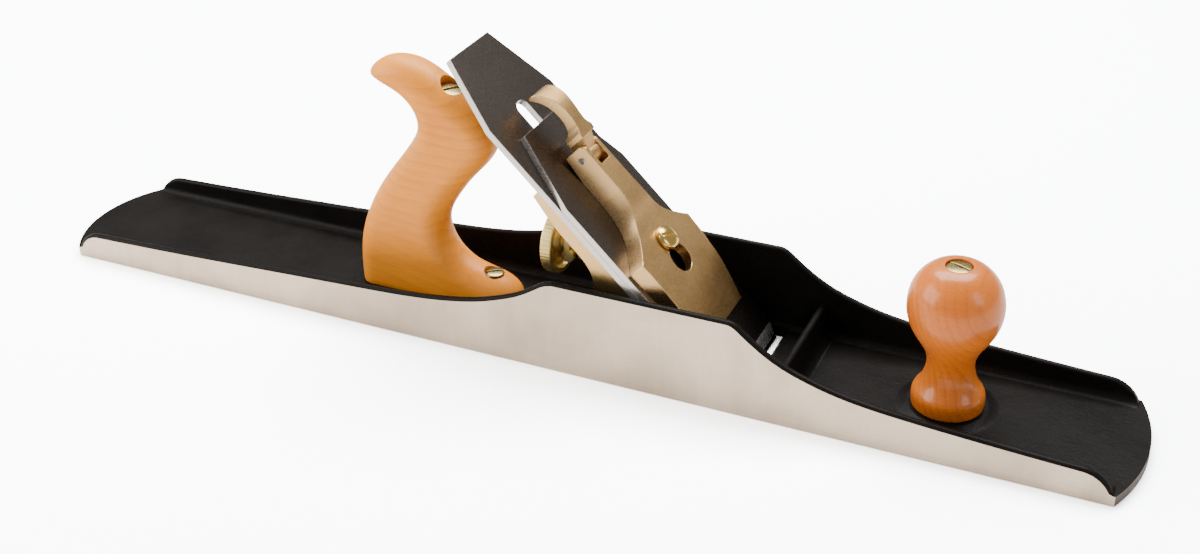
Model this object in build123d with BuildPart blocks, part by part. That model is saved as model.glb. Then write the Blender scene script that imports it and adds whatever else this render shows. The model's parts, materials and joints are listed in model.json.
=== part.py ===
from build123d import *
from math import cos, radians, sin, sqrt, tan
import os

# A long iron bench plane of the pinned, sliding-frog pattern. Millimetres.
# +X points to the toe, +Z up; the sole lies on Z = 0, and the origin is at the middle of its length.

# ---- body casting ----
LENGTH = 560.0
WIDTH = 72.5
HALF_W = WIDTH / 2
WALL_T = 3.3
INNER_W = HALF_W - WALL_T
FLOOR_T = 5.0
CORNER_R = 3.0
HEEL_SAG = 12.9                      # how far the curved heel stands out past its side corners
TOE_SAG = 8.4
HEEL_X = HEEL_SAG - LENGTH / 2
TOE_X = LENGTH / 2 - TOE_SAG
WALL_END_R = 15.0
CHEEK_H = 47.6
RIB_X = 125.3
RIB_H = 22.0
KNOB_X = 193.7
BOSS_H = 1.6

# ---- bed of the blade, 45 degrees ----
EDGE_X = 104.5                       # where the blade's upper face plane meets the sole
S = sqrt(0.5)
BED = Plane(origin=(EDGE_X, 0, 0), x_dir=(-S, 0, S), z_dir=(S, 0, S))      # (up the bed, across, off the bed)
SIDE = Plane(origin=(EDGE_X, 0, 0), x_dir=(-S, 0, S), z_dir=(0, 1, 0))     # (up the bed, off the bed)

# ---- blade and cap iron ----
BLADE_W = 60.3
BLADE_T = 3.2
BLADE_END = 200.6
BLADE_KINK = 164.4
BLADE_TOP_W = 35.3
BLADE_SET = 0.35                     # edge held this far up the bed at rest, just inside the mouth
BEVEL_LEN = 6.8
SLOT_W = 9.0
SLOT_TOP = 166.6
SLOT_LOW = 58.0
CAP_T = 3.1
CAP_START = 2.4
CAP_END = 152.6
CAP_KINK = 115.7
CAP_TOP_W = 36.4

# ---- places along the bed ----
LEVER_SCREW_U = 74.6
CAP_SCREW_U = 92.0
YOKE_U = 106.4
ROLLER_U = 116.0
LATERAL_U = 124.5
FROG_END = 129.9
FROG_FACE = -(BLADE_T + 0.1)
FROG_HALF_W = 27.0

# ---- frog ramp ----
RAMP_DEG = 12.0
RAMP_RAD = radians(RAMP_DEG)
RAMP_FOOT_X = 91.8
RAMP_FOOT_Z = 8.0
RAMP_GAP = 0.1
FROG_BACK_X = 35.5
SEAT_BACK_X = 38.5
MOUTH_BACK = 98.7                    # x + z of the sloping back wall of the mouth
MOUTH_FRONT_X = 106.6
MOUTH_HALF_W = 31.5
TONGUE_W = 12.0
TONGUE_H = 2.5
SLIDE_GAP = 0.4
PIN_X = 60.0                         # the frog pins cross the ramp here
PIN_R = 3.0
FASTENING_Y = 16.0                   # frog pins and clamp screws, either side of the middle
SCREW_DROP = 7.0                     # screw axes lie this far under the ramp
CLAMP_SCREW_X = SEAT_BACK_X - 6
CLAMP_SCREW_LEN = 18.0
TAB_T = 2.4
TAB_SCREW_Z = 27.0
TAB_SCREW_R = 1.75
WAIST_X = FROG_BACK_X - TAB_T / 2
WAIST_LEN = 5.2
ADJUST_HEAD_R = 4.4
ADJUST_HEAD_LEN = 5.0

# ---- depth adjuster ----
STUD_Z = 48.8
STUD_R = 3.97
STUD_GRIP = 5.5
SCREW_GRIP = 6.0
WHEEL_R = 16.0
WHEEL_BACK_X = 2.0
WHEEL_W = 5.7
GROOVE_X = 8.0
GROOVE_END_X = 17.2
FLANGE_X = 18.8
YOKE_N = -10.3
LOBE_X = 12.6
LOBE_Z = 45.4
LOBE_R = 3.2
ARM_Y = 6.75
ARM_HALF_T = 1.4
BORE_R = 4.05
GROOVE_R = 5.4
FLANGE_R = 7.4
YOKE_HUB_R = 3.8
YOKE_PIN_R = 1.6
YOKE_PIN_Y = 14.0

# ---- lateral lever ----
LATERAL_N = FROG_FACE - 0.2
LATERAL_T = 1.7
LATERAL_BEND_U = 146.0
LATERAL_END = 162.5
LATERAL_BAY_U = 111.2
LATERAL_RIVET_R = 1.8
ROLLER_R = 3.9
ROLLER_PIN_R = 1.2

# ---- lever cap ----
CAP_GAP = 0.1
LC_UNDER = CAP_T + CAP_GAP
LC_FRONT = 27.3
LC_END = 132.3
LC_TOP = 15.4
LC_NECK = 7.9
KEY_R = 7.2
KEY_U = 64.0
KEY_SLOT_R = 4.4
CAM_U = 127.0
CAM_N = 10.1
CAM_PIN_R = 1.6
CAM_SLOT_W = 8.4
LEVER_SCREW_SEAT = 11.65
LEVER_SCREW_HEAD_R = 6.3
LEVER_SCREW_DOME = 3.7
SPRING_U = 98.0
SPRING_RIVET_R = 1.6
SPRING_CEILING = LC_UNDER + 2.6
SPRING_T = 0.8

# ---- handles ----
TOTE_HALF_T = 11.5
TOTE_EDGE_R = 1.0
TOTE_SEAT_Z = FLOOR_T + 1.0
ROD_TOP = (-48.7, 117.2)
ROD_LOW_X = -79.0
ROD_R = 3.0
NUT_R = 5.8
NUT_HEAD = 2.4
NUT_SINK = 2.2
HANDLE_GAP = 0.3                     # play of rod and stud in the wood
TOE_SCREW_X = -32.2
TOE_SCREW_R = 2.5
TOE_SCREW_HEAD_R = 4.8
TOE_SCREW_HEAD_Z = 20.8
KNOB_NUT_Z = 73.6


def bed_point(u, n):
    """Return (x, z) of a point u up the bed and n off it."""
    return EDGE_X - S * u + S * n, S * (u + n)


def ramp_z(x):
    """Return the height of the frog ramp at x."""
    return RAMP_FOOT_Z + (RAMP_FOOT_X - x) * tan(RAMP_RAD)


def frog_foot():
    """Return (x, z) of the frog's lower front corner, where its bed meets its underside."""
    slope = tan(RAMP_RAD)
    face_sum = EDGE_X + FROG_FACE / S
    x = (face_sum - RAMP_GAP - RAMP_FOOT_Z - RAMP_FOOT_X * slope) / (1 - slope)
    return x, face_sum - x


def save(builder, name):
    """Label a finished piece and write it."""
    builder.part.label = name
    export_step(builder.part, f"parts/{name}.step")


def ramp_plane(x, drop):
    """Return a plane square to the ramp's run, centred under the ramp at x, looking forward."""
    origin = (x, 0, ramp_z(x) - drop)
    return Plane(origin=origin, x_dir=(0, 1, 0), z_dir=(cos(RAMP_RAD), 0, -sin(RAMP_RAD)))


def frog_pin_plane():
    """Return a plane lying on the ramp where the frog pins cross it."""
    return Plane(origin=(PIN_X, 0, ramp_z(PIN_X)), x_dir=(cos(RAMP_RAD), 0, -sin(RAMP_RAD)),
                 z_dir=(sin(RAMP_RAD), 0, cos(RAMP_RAD)))


def rod_plane(distance):
    """Return a plane square to the tote rod, at a distance down from its top."""
    run = ROD_TOP[0] - ROD_LOW_X
    rise = ROD_TOP[1] - TOTE_SEAT_Z
    length = sqrt(run * run + rise * rise)
    axis = (run / length, 0, rise / length)
    origin = (ROD_TOP[0] - axis[0] * distance, 0, ROD_TOP[1] - axis[2] * distance)
    return Plane(origin=origin, x_dir=(0, 1, 0), z_dir=axis)


def rod_length():
    """Return the length of the tote rod from its nut's face to the seat."""
    return sqrt((ROD_TOP[0] - ROD_LOW_X) ** 2 + (ROD_TOP[1] - TOTE_SEAT_Z) ** 2)


# ---------------------------------------------------------------- body casting
def make_plane_body():
    with BuildPart() as plane_body:
        # Sole plate with its curved heel and toe
        with BuildSketch():
            with BuildLine():
                Line((HEEL_X, -HALF_W), (TOE_X, -HALF_W))
                ThreePointArc((TOE_X, -HALF_W), (LENGTH / 2, 0), (TOE_X, HALF_W))
                Line((TOE_X, HALF_W), (HEEL_X, HALF_W))
                ThreePointArc((HEEL_X, HALF_W), (-LENGTH / 2, 0), (HEEL_X, -HALF_W))
            make_face()
        extrude(amount=FLOOR_T)
        # Side walls: low at heel and toe, sweeping up to a flat cheek beside the blade
        for face_y in (HALF_W, WALL_T - HALF_W):
            with BuildSketch(Plane.XZ.offset(face_y)):
                with BuildLine():
                    Line((HEEL_X, 0), (TOE_X, 0))
                    RadiusArc((TOE_X, 0), (TOE_X - WALL_END_R, WALL_END_R), -WALL_END_R)
                    toe_sweep = [(TOE_X - WALL_END_R, WALL_END_R), (206, 17.8), (165, 21.4),
                                 (139, 27.2), (121, 35.6), (110.5, 43.6)]
                    Spline(toe_sweep, tangents=[(-1, 0.07), (-0.6, 0.8)])
                    Spline((110.5, 43.6), (103.5, CHEEK_H), tangents=[(-0.6, 0.8), (-1, 0)])
                    Line((103.5, CHEEK_H), (18, CHEEK_H))
                    Spline((18, CHEEK_H), (8, 43), tangents=[(-1, 0), (-0.75, -0.66)])
                    heel_sweep = [(8, 43), (-9, 34.2), (-34, 27.2), (-89, 22.3),
                                  (HEEL_X + WALL_END_R, WALL_END_R)]
                    Spline(heel_sweep, tangents=[(-0.75, -0.66), (-1, -0.05)])
                    RadiusArc((HEEL_X + WALL_END_R, WALL_END_R), (HEEL_X, 0), -WALL_END_R)
                make_face()
            extrude(amount=-WALL_T)
        corners = plane_body.edges().filter_by(Axis.X).filter_by_position(Axis.Z, 4.9, 5.1)
        fillet(corners.filter_by(lambda edge: abs(edge.center().Y) < HALF_W - 1), CORNER_R)
        # Cross rib ahead of the mouth
        with BuildSketch(Plane.XZ) as rib:
            with BuildLine():
                Polyline((RIB_X - 4, FLOOR_T - 1), (RIB_X + 4.2, FLOOR_T - 1), (RIB_X + 1.6, RIB_H),
                         (RIB_X - 1.6, RIB_H), close=True)
            make_face()
            fillet(rib.vertices().group_by(Axis.Z)[-1], 1.4)
        extrude(amount=INNER_W + 0.5, both=True)
        # Raised seats for the tote and the knob
        with BuildSketch(Plane.XY.offset(FLOOR_T - 0.5)):
            with Locations((-60, 0)):
                SlotOverall(106, 30)
        extrude(amount=TOTE_SEAT_Z - FLOOR_T + 0.5)
        with BuildSketch(Plane.XY.offset(FLOOR_T - 0.5)):
            with Locations((KNOB_X, 0)):
                Circle(19)
        extrude(amount=BOSS_H + 0.5, taper=20)
        # Sloping seat that the frog slides on
        with BuildSketch(Plane.XZ):
            with BuildLine():
                Polyline((SEAT_BACK_X, FLOOR_T - 1), (SEAT_BACK_X, ramp_z(SEAT_BACK_X)),
                         (RAMP_FOOT_X, RAMP_FOOT_Z), (RAMP_FOOT_X + 8, FLOOR_T - 1), close=True)
            make_face()
        extrude(amount=FROG_HALF_W + 1, both=True)
        # Groove that keeps the frog square
        with BuildSketch(ramp_plane(SEAT_BACK_X, 0)):
            Rectangle(TONGUE_W, 2 * TONGUE_H)
        extrude(amount=50, both=True, mode=Mode.SUBTRACT)
        # Mouth: sloping back wall, front wall leaning forward
        with BuildSketch(Plane.XZ):
            with BuildLine():
                Polyline((MOUTH_BACK + 1, -1), (MOUTH_FRONT_X - 0.4, -1), (MOUTH_FRONT_X, 0),
                         (MOUTH_FRONT_X + 4, FLOOR_T + 1), (RAMP_FOOT_X + 2, 30),
                         (MOUTH_BACK - 30, 30), close=True)
            make_face()
        extrude(amount=MOUTH_HALF_W, both=True, mode=Mode.SUBTRACT)
        # Long holes for the frog pins, and threaded holes for the screws behind them
        with BuildSketch(frog_pin_plane()):
            with Locations((0, -FASTENING_Y), (0, FASTENING_Y)):
                SlotOverall(11, 2 * (PIN_R + SLIDE_GAP))
        extrude(amount=-9, mode=Mode.SUBTRACT)
        with BuildSketch(ramp_plane(SEAT_BACK_X - 4, SCREW_DROP)):
            with Locations((-FASTENING_Y, 0), (FASTENING_Y, 0)):
                Circle(PIN_R)
        extrude(amount=26, mode=Mode.SUBTRACT)
        with BuildSketch(ramp_plane(SEAT_BACK_X - 4, SCREW_DROP)):
            Circle(3.1)
        extrude(amount=24, mode=Mode.SUBTRACT)
        # Threaded holes for the handle fastenings
        with BuildSketch(rod_plane(rod_length() - 1)):
            Circle(ROD_R)
        extrude(amount=-4.6, mode=Mode.SUBTRACT)
        with BuildSketch(Plane.XY.offset(1.6)):
            with Locations((TOE_SCREW_X, 0)):
                Circle(TOE_SCREW_R)
            with Locations((KNOB_X, 0)):
                Circle(ROD_R)
        extrude(amount=12, mode=Mode.SUBTRACT)
    save(plane_body, "plane_body")


# ---------------------------------------------------------------- frog and its fastenings
def make_frog():
    top_front = bed_point(FROG_END, FROG_FACE)
    top_back = bed_point(FROG_END, -8.9)
    with BuildPart() as frog:
        with BuildSketch(Plane.XZ):
            with BuildLine():
                Polyline(frog_foot(), top_front, top_back)
                back_curve = [top_back, (17.1, 71.0), (27.3, 60.5), (FROG_BACK_X, 44.3)]
                Spline(back_curve, tangents=[(0.6, -0.8), (0.1, -1)])
                Polyline((FROG_BACK_X, 44.3), (FROG_BACK_X, ramp_z(FROG_BACK_X) + RAMP_GAP),
                         frog_foot())
            make_face()
        extrude(amount=FROG_HALF_W, both=True)
        # Tongue that runs in the seat's groove
        with BuildSketch(ramp_plane(FROG_BACK_X + 1, 0)):
            Rectangle(TONGUE_W - SLIDE_GAP, 2 * (TONGUE_H - SLIDE_GAP))
        extrude(amount=42)
        # Coring from the back, either side of the stud boss
        for side in (-1, 1):
            with BuildSketch(Plane.YZ.offset(FROG_BACK_X - 1)):
                with Locations((side * 16.5, 35)):
                    RectangleRounded(13, 18, 2.5)
            extrude(amount=9, mode=Mode.SUBTRACT)
        # Channel in the face for the cap screw's head, then the yoke's slot and hub cavity
        with BuildSketch(BED.offset(FROG_FACE)):
            with Locations(((CAP_SCREW_U + YOKE_U) / 2 - 3.5, 0)):
                RectangleRounded(31, 20, 3)
        extrude(amount=-3.4, mode=Mode.SUBTRACT)
        with BuildSketch(BED.offset(FROG_FACE)):
            with Locations((YOKE_U, 0)):
                Rectangle(8, 7)
        extrude(amount=-8, mode=Mode.SUBTRACT)
        with BuildSketch(BED.offset(-5.4)):
            with Locations((YOKE_U, 0)):
                Rectangle(11.4, 17)
        extrude(amount=-40, mode=Mode.SUBTRACT)
        # Shallow bay for the lateral lever
        with BuildSketch(BED.offset(FROG_FACE)):
            with Locations(((LATERAL_BAY_U + FROG_END + 2) / 2, 0)):
                Rectangle(FROG_END + 2 - LATERAL_BAY_U, 14)
        extrude(amount=-2.4, mode=Mode.SUBTRACT)
        # Holes: lever cap screw, lateral rivet, yoke pin, adjuster stud, frog pins, tab screw
        with BuildSketch(BED.offset(FROG_FACE)):
            with Locations((LEVER_SCREW_U, 0)):
                Circle(STUD_R)
        extrude(amount=-SCREW_GRIP, mode=Mode.SUBTRACT)
        with BuildSketch(BED.offset(FROG_FACE)):
            with Locations((LATERAL_U, 0)):
                Circle(LATERAL_RIVET_R)
        extrude(amount=-5, mode=Mode.SUBTRACT)
        yoke_x, yoke_z = bed_point(YOKE_U, YOKE_N)
        with BuildSketch(Plane.XZ.offset(YOKE_PIN_Y)):
            with Locations((yoke_x, yoke_z)):
                Circle(YOKE_PIN_R)
        extrude(amount=-YOKE_PIN_Y - FROG_HALF_W - 1, mode=Mode.SUBTRACT)
        with BuildSketch(Plane.YZ.offset(FROG_BACK_X - 10)):
            with Locations((0, STUD_Z)):
                Circle(STUD_R)
        extrude(amount=10 + STUD_GRIP, mode=Mode.SUBTRACT)
        with BuildSketch(frog_pin_plane()):
            with Locations((0, -FASTENING_Y), (0, FASTENING_Y)):
                Circle(PIN_R)
        extrude(amount=40, mode=Mode.SUBTRACT)
        with BuildSketch(Plane.YZ.offset(FROG_BACK_X - 1)):
            with Locations((0, TAB_SCREW_Z)):
                Circle(TAB_SCREW_R)
        extrude(amount=8, mode=Mode.SUBTRACT)
    save(frog, "frog")


def make_frog_pins():
    with BuildPart() as frog_pins:
        with BuildSketch(frog_pin_plane().offset(-8)):
            with Locations((0, -FASTENING_Y), (0, FASTENING_Y)):
                Circle(PIN_R)
        extrude(amount=8 + 18)
        # A conical seat in each pin for the point of its clamp screw
        for side in (-FASTENING_Y, FASTENING_Y):
            with BuildSketch(ramp_plane(PIN_X, SCREW_DROP).offset(-3.2)):
                with Locations((side, 0)):
                    Circle(2.2)
            extrude(amount=2.0, taper=40, mode=Mode.SUBTRACT)
    save(frog_pins, "frog_pins")


def make_frog_clamp_screws():
    with BuildPart() as frog_clamp_screws:
        with BuildSketch(ramp_plane(CLAMP_SCREW_X, SCREW_DROP)):
            with Locations((-FASTENING_Y, 0), (FASTENING_Y, 0)):
                Circle(PIN_R)
        extrude(amount=CLAMP_SCREW_LEN)
        for side in (-FASTENING_Y, FASTENING_Y):
            with BuildSketch(ramp_plane(CLAMP_SCREW_X, SCREW_DROP).offset(CLAMP_SCREW_LEN)):
                with Locations((side, 0)):
                    Circle(PIN_R)
            extrude(amount=2.2, taper=45)
            with BuildSketch(ramp_plane(CLAMP_SCREW_X, SCREW_DROP)):
                with Locations((side, 0)):
                    Rectangle(7, 1.1)
            extrude(amount=1.6, mode=Mode.SUBTRACT)
    save(frog_clamp_screws, "frog_clamp_screws")


def make_frog_tab():
    with BuildPart() as frog_tab:
        with BuildSketch(Plane.YZ.offset(FROG_BACK_X)):
            with Locations((0, 20.5)):
                RectangleRounded(13, 22.5, 2)
        extrude(amount=-TAB_T)
        # Fork that drops over the waist of the adjusting screw, and the screw hole
        waist_z = ramp_z(WAIST_X) - SCREW_DROP
        with BuildSketch(Plane.YZ.offset(FROG_BACK_X + 1)):
            with Locations((0, waist_z)):
                Circle(2.6)
            with Locations((0, waist_z - 5)):
                Rectangle(5.2, 10)
            with Locations((0, TAB_SCREW_Z)):
                Circle(TAB_SCREW_R)
        extrude(amount=-6, mode=Mode.SUBTRACT)
    save(frog_tab, "frog_tab")


def make_frog_tab_screw():
    with BuildPart() as frog_tab_screw:
        with BuildSketch(Plane.YZ.offset(FROG_BACK_X - TAB_T)):
            with Locations((0, TAB_SCREW_Z)):
                Circle(TAB_SCREW_R)
        extrude(amount=9)
        with BuildSketch(Plane.YZ.offset(FROG_BACK_X - TAB_T)):
            with Locations((0, TAB_SCREW_Z)):
                Circle(3.4)
        extrude(amount=-2.0, taper=12)
        with BuildSketch(Plane.YZ.offset(FROG_BACK_X - TAB_T - 2)):
            with Locations((0, TAB_SCREW_Z)):
                Rectangle(8, 0.9)
        extrude(amount=1.1, mode=Mode.SUBTRACT)
    save(frog_tab_screw, "frog_tab_screw")


def make_frog_adjusting_screw():
    axis_start = ramp_plane(WAIST_X, SCREW_DROP)
    with BuildPart() as frog_adjusting_screw:
        # Waist inside the tab's fork, thread ahead of it, slotted head behind it
        with BuildSketch(axis_start.offset(-WAIST_LEN / 2)):
            Circle(2.0)
        extrude(amount=WAIST_LEN)
        with BuildSketch(axis_start.offset(2.3)):
            Circle(3.0)
        extrude(amount=16)
        with BuildSketch(axis_start.offset(-2.3)):
            Circle(ADJUST_HEAD_R)
        extrude(amount=-ADJUST_HEAD_LEN)
        with BuildSketch(axis_start.offset(-2.3 - ADJUST_HEAD_LEN)):
            Rectangle(1.1, 10)
        extrude(amount=1.8, mode=Mode.SUBTRACT)
    save(frog_adjusting_screw, "frog_adjusting_screw")


def make_lever_cap_screw():
    seat = LEVER_SCREW_SEAT
    rim_u = LEVER_SCREW_U + LEVER_SCREW_HEAD_R
    with BuildPart() as lever_cap_screw:
        with BuildSketch(BED.offset(FROG_FACE - SCREW_GRIP)):
            with Locations((LEVER_SCREW_U, 0)):
                Circle(STUD_R)
        extrude(amount=seat - FROG_FACE + SCREW_GRIP)
        # Domed head
        with BuildSketch(SIDE):
            with BuildLine():
                Line((LEVER_SCREW_U, seat), (rim_u, seat))
                Line((rim_u, seat), (rim_u, seat + 0.9))
                Spline((rim_u, seat + 0.9), (LEVER_SCREW_U, seat + LEVER_SCREW_DOME),
                       tangents=[(-0.15, 1), (-1, 0)])
                Line((LEVER_SCREW_U, seat + LEVER_SCREW_DOME), (LEVER_SCREW_U, seat))
            make_face()
        axis_x, axis_z = bed_point(LEVER_SCREW_U, 0)
        revolve(axis=Axis((axis_x, 0, axis_z), (S, 0, S)))
        with BuildSketch(BED.offset(seat + 2.2)):
            with Locations(Location((LEVER_SCREW_U, 0, 0), (0, 0, 50))):
                Rectangle(1.3, 14)
        extrude(amount=4, mode=Mode.SUBTRACT)
    save(lever_cap_screw, "lever_cap_screw")


# ---------------------------------------------------------------- depth adjuster
def make_adjuster_stud():
    with BuildPart() as adjuster_stud:
        with BuildSketch(Plane.YZ.offset(WHEEL_BACK_X - 3.5)):
            with Locations((0, STUD_Z)):
                Circle(STUD_R)
        extrude(amount=FROG_BACK_X + STUD_GRIP - WHEEL_BACK_X + 3.5)
        chamfer(adjuster_stud.faces().sort_by(Axis.X)[0].edges(), 0.6)
    save(adjuster_stud, "adjuster_stud")


def make_adjuster_wheel():
    with BuildPart() as adjuster_wheel:
        # Rim, dished web, hub with the groove that the yoke rides in
        with BuildSketch(Plane.XZ):
            with BuildLine():
                Polyline((WHEEL_BACK_X, STUD_Z + BORE_R), (WHEEL_BACK_X, STUD_Z + WHEEL_R - 0.5),
                         (WHEEL_BACK_X + 0.5, STUD_Z + WHEEL_R),
                         (WHEEL_BACK_X + WHEEL_W - 0.5, STUD_Z + WHEEL_R),
                         (WHEEL_BACK_X + WHEEL_W, STUD_Z + WHEEL_R - 0.5),
                         (WHEEL_BACK_X + WHEEL_W, STUD_Z + WHEEL_R - 2.4),
                         (WHEEL_BACK_X + 3.2, STUD_Z + WHEEL_R - 3.2),
                         (WHEEL_BACK_X + 3.2, STUD_Z + 8.4), (GROOVE_X, STUD_Z + 8.0),
                         (GROOVE_X, STUD_Z + GROOVE_R), (GROOVE_END_X, STUD_Z + GROOVE_R),
                         (GROOVE_END_X, STUD_Z + FLANGE_R), (FLANGE_X, STUD_Z + FLANGE_R),
                         (FLANGE_X, STUD_Z + BORE_R), close=True)
            make_face()
        revolve(axis=Axis((0, 0, STUD_Z), (1, 0, 0)))
        # Knurling on the rim
        with BuildSketch(Plane.YZ.offset(WHEEL_BACK_X - 0.5)):
            with Locations((0, STUD_Z)):
                with PolarLocations(WHEEL_R + 0.12, 48):
                    Circle(0.38)
        extrude(amount=WHEEL_W + 1, mode=Mode.SUBTRACT)
    save(adjuster_wheel, "adjuster_wheel")


def make_yoke():
    hub_x, hub_z = bed_point(YOKE_U, YOKE_N)
    with BuildPart() as yoke:
        with BuildSketch(Plane.XZ):
            with Locations((hub_x, hub_z)):
                Circle(YOKE_HUB_R)
        extrude(amount=8, both=True)
        # Finger that reaches up through the frog and blade into the cap iron
        with BuildSketch(SIDE):
            with BuildLine():
                Polyline((YOKE_U - 2.6, YOKE_N), (YOKE_U + 2.6, YOKE_N), (YOKE_U + 2.0, 0),
                         (YOKE_U + 1.5, 2.4), (YOKE_U - 1.5, 2.4), (YOKE_U - 2.0, 0), close=True)
            make_face()
        extrude(amount=3, both=True)
        # Two arms ending in rounded lobes beside the wheel's groove
        for side in (-1, 1):
            with BuildSketch(Plane.XZ.offset(side * ARM_Y)):
                with BuildLine() as arm_line:
                    Polyline((hub_x, hub_z), (LOBE_X - 0.4, LOBE_Z + 12), (LOBE_X, LOBE_Z))
                trace(arm_line.line, line_width=2 * ARM_HALF_T)
                with Locations((LOBE_X, LOBE_Z)):
                    Circle(LOBE_R)
            extrude(amount=1.25, both=True)
        with BuildSketch(Plane.XZ):
            with Locations((hub_x, hub_z)):
                Circle(YOKE_PIN_R + 0.05)
        extrude(amount=10, both=True, mode=Mode.SUBTRACT)
    save(yoke, "yoke")


def make_yoke_pin():
    hub_x, hub_z = bed_point(YOKE_U, YOKE_N)
    with BuildPart() as yoke_pin:
        with BuildSketch(Plane.XZ.offset(YOKE_PIN_Y)):
            with Locations((hub_x, hub_z)):
                Circle(YOKE_PIN_R)
        extrude(amount=-YOKE_PIN_Y - FROG_HALF_W + 0.5)
    save(yoke_pin, "yoke_pin")


# ---------------------------------------------------------------- lateral lever
def make_lateral_lever():
    with BuildPart() as lateral_lever:
        # Strip bent away from the blade above the frog
        with BuildSketch(SIDE):
            with BuildLine():
                pad_n = LATERAL_N - 9.6
                Polyline((ROLLER_U - 4, LATERAL_N), (LATERAL_BEND_U, LATERAL_N),
                         (LATERAL_END - 5.5, pad_n + 0.6), (LATERAL_END, pad_n),
                         (LATERAL_END, pad_n - LATERAL_T), (LATERAL_END - 6.1, pad_n + 0.6 - LATERAL_T),
                         (LATERAL_BEND_U - 0.7, LATERAL_N - LATERAL_T),
                         (ROLLER_U - 4, LATERAL_N - LATERAL_T), close=True)
            make_face()
        extrude(amount=9, both=True)
        # Plan shape: rounded lower end, narrow waist, wide thumb pad
        with BuildSketch(BED.offset(-30)):
            with Locations((ROLLER_U, 0)):
                Circle(4.6)
            with Locations((LATERAL_U, 0)):
                Circle(5.4)
            with Locations(((ROLLER_U + LATERAL_END - 4) / 2, 0)):
                Rectangle(LATERAL_END - 4 - ROLLER_U, 7)
            with Locations((LATERAL_END - 4, 0)):
                RectangleRounded(9, 17, 3)
        extrude(amount=40, mode=Mode.INTERSECT)
        with BuildSketch(BED.offset(-10)):
            with Locations((LATERAL_U, 0)):
                Circle(LATERAL_RIVET_R + 0.05)
            with Locations((ROLLER_U, 0)):
                Circle(ROLLER_PIN_R)
        extrude(amount=12, mode=Mode.SUBTRACT)
    save(lateral_lever, "lateral_lever")


def make_lateral_roller():
    with BuildPart() as lateral_roller:
        with BuildSketch(BED.offset(FROG_FACE - 0.15)):
            with Locations((ROLLER_U, 0)):
                Circle(ROLLER_R)
        extrude(amount=2.9)
        chamfer(lateral_roller.faces().sort_by(Axis.Z)[-1].edges(), 0.3)
        with BuildSketch(BED.offset(FROG_FACE - 1.9)):
            with Locations((ROLLER_U, 0)):
                Circle(ROLLER_PIN_R)
        extrude(amount=1.9)
    save(lateral_roller, "lateral_roller")


def make_lateral_rivet():
    with BuildPart() as lateral_rivet:
        with BuildSketch(BED.offset(FROG_FACE - 5)):
            with Locations((LATERAL_U, 0)):
                Circle(LATERAL_RIVET_R)
        extrude(amount=4.85)
        with BuildSketch(BED.offset(FROG_FACE - 0.18)):
            with Locations((LATERAL_U, 0)):
                Circle(3.2)
        extrude(amount=0.16)
    save(lateral_rivet, "lateral_rivet")


# ---------------------------------------------------------------- blade, cap iron and their screw
def make_blade():
    with BuildPart() as blade:
        with BuildSketch(SIDE):
            with BuildLine():
                Polyline((BLADE_SET, 0), (BLADE_END, 0), (BLADE_END, -BLADE_T),
                         (BLADE_SET + BEVEL_LEN, -BLADE_T), close=True)
            make_face()
        extrude(amount=BLADE_W / 2, both=True)
        with BuildSketch(BED.offset(-BLADE_T - 1)):
            with BuildLine():
                Polyline((-1, -BLADE_W / 2), (BLADE_KINK, -BLADE_W / 2), (BLADE_END, -BLADE_TOP_W / 2),
                         (BLADE_END, BLADE_TOP_W / 2), (BLADE_KINK, BLADE_W / 2),
                         (-1, BLADE_W / 2), close=True)
            make_face()
        extrude(amount=BLADE_T + 2, mode=Mode.INTERSECT)
        # Long slot with the round opening that the cap screw's head goes through
        with BuildSketch(BED.offset(-BLADE_T - 1)):
            with Locations(((SLOT_LOW + SLOT_TOP) / 2, 0)):
                SlotOverall(SLOT_TOP - SLOT_LOW, SLOT_W)
            with Locations((SLOT_LOW, 0)):
                Circle(9.2)
        extrude(amount=BLADE_T + 2, mode=Mode.SUBTRACT)
    save(blade, "blade")


def make_cap_iron():
    with BuildPart() as cap_iron:
        with BuildSketch(SIDE):
            with BuildLine():
                Polyline((CAP_START, 0), (CAP_START + 0.4, 0.5), (CAP_START + 8, CAP_T),
                         (CAP_END, CAP_T), (CAP_END, 0), close=True)
            make_face()
        extrude(amount=BLADE_W / 2, both=True)
        with BuildSketch(BED.offset(-1)):
            with BuildLine():
                Polyline((0, -BLADE_W / 2), (CAP_KINK, -BLADE_W / 2), (CAP_END, -CAP_TOP_W / 2),
                         (CAP_END, CAP_TOP_W / 2), (CAP_KINK, BLADE_W / 2), (0, BLADE_W / 2), close=True)
            make_face()
        extrude(amount=CAP_T + 2, mode=Mode.INTERSECT)
        # Openings for the lever cap screw, the cap screw's thread and the yoke's finger
        with BuildSketch(BED.offset(-1)):
            with Locations((LEVER_SCREW_U, 0)):
                SlotOverall(17, 11)
            with Locations((CAP_SCREW_U, 0)):
                Circle(STUD_R)
            with Locations((YOKE_U, 0)):
                Rectangle(4.4, 6.6)
        extrude(amount=CAP_T + 2, mode=Mode.SUBTRACT)
    save(cap_iron, "cap_iron")


def make_cap_iron_screw():
    with BuildPart() as cap_iron_screw:
        with BuildSketch(BED.offset(-BLADE_T - 2.6)):
            with Locations((CAP_SCREW_U, 0)):
                Circle(8.4)
        extrude(amount=2.6)
        with BuildSketch(BED.offset(-BLADE_T)):
            with Locations((CAP_SCREW_U, 0)):
                Circle(STUD_R)
        extrude(amount=BLADE_T + CAP_T - 0.2)
        with BuildSketch(BED.offset(-BLADE_T - 2.6)):
            with Locations((CAP_SCREW_U, 0)):
                Rectangle(1.8, 18)
        extrude(amount=1.3, mode=Mode.SUBTRACT)
    save(cap_iron_screw, "cap_iron_screw")


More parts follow.
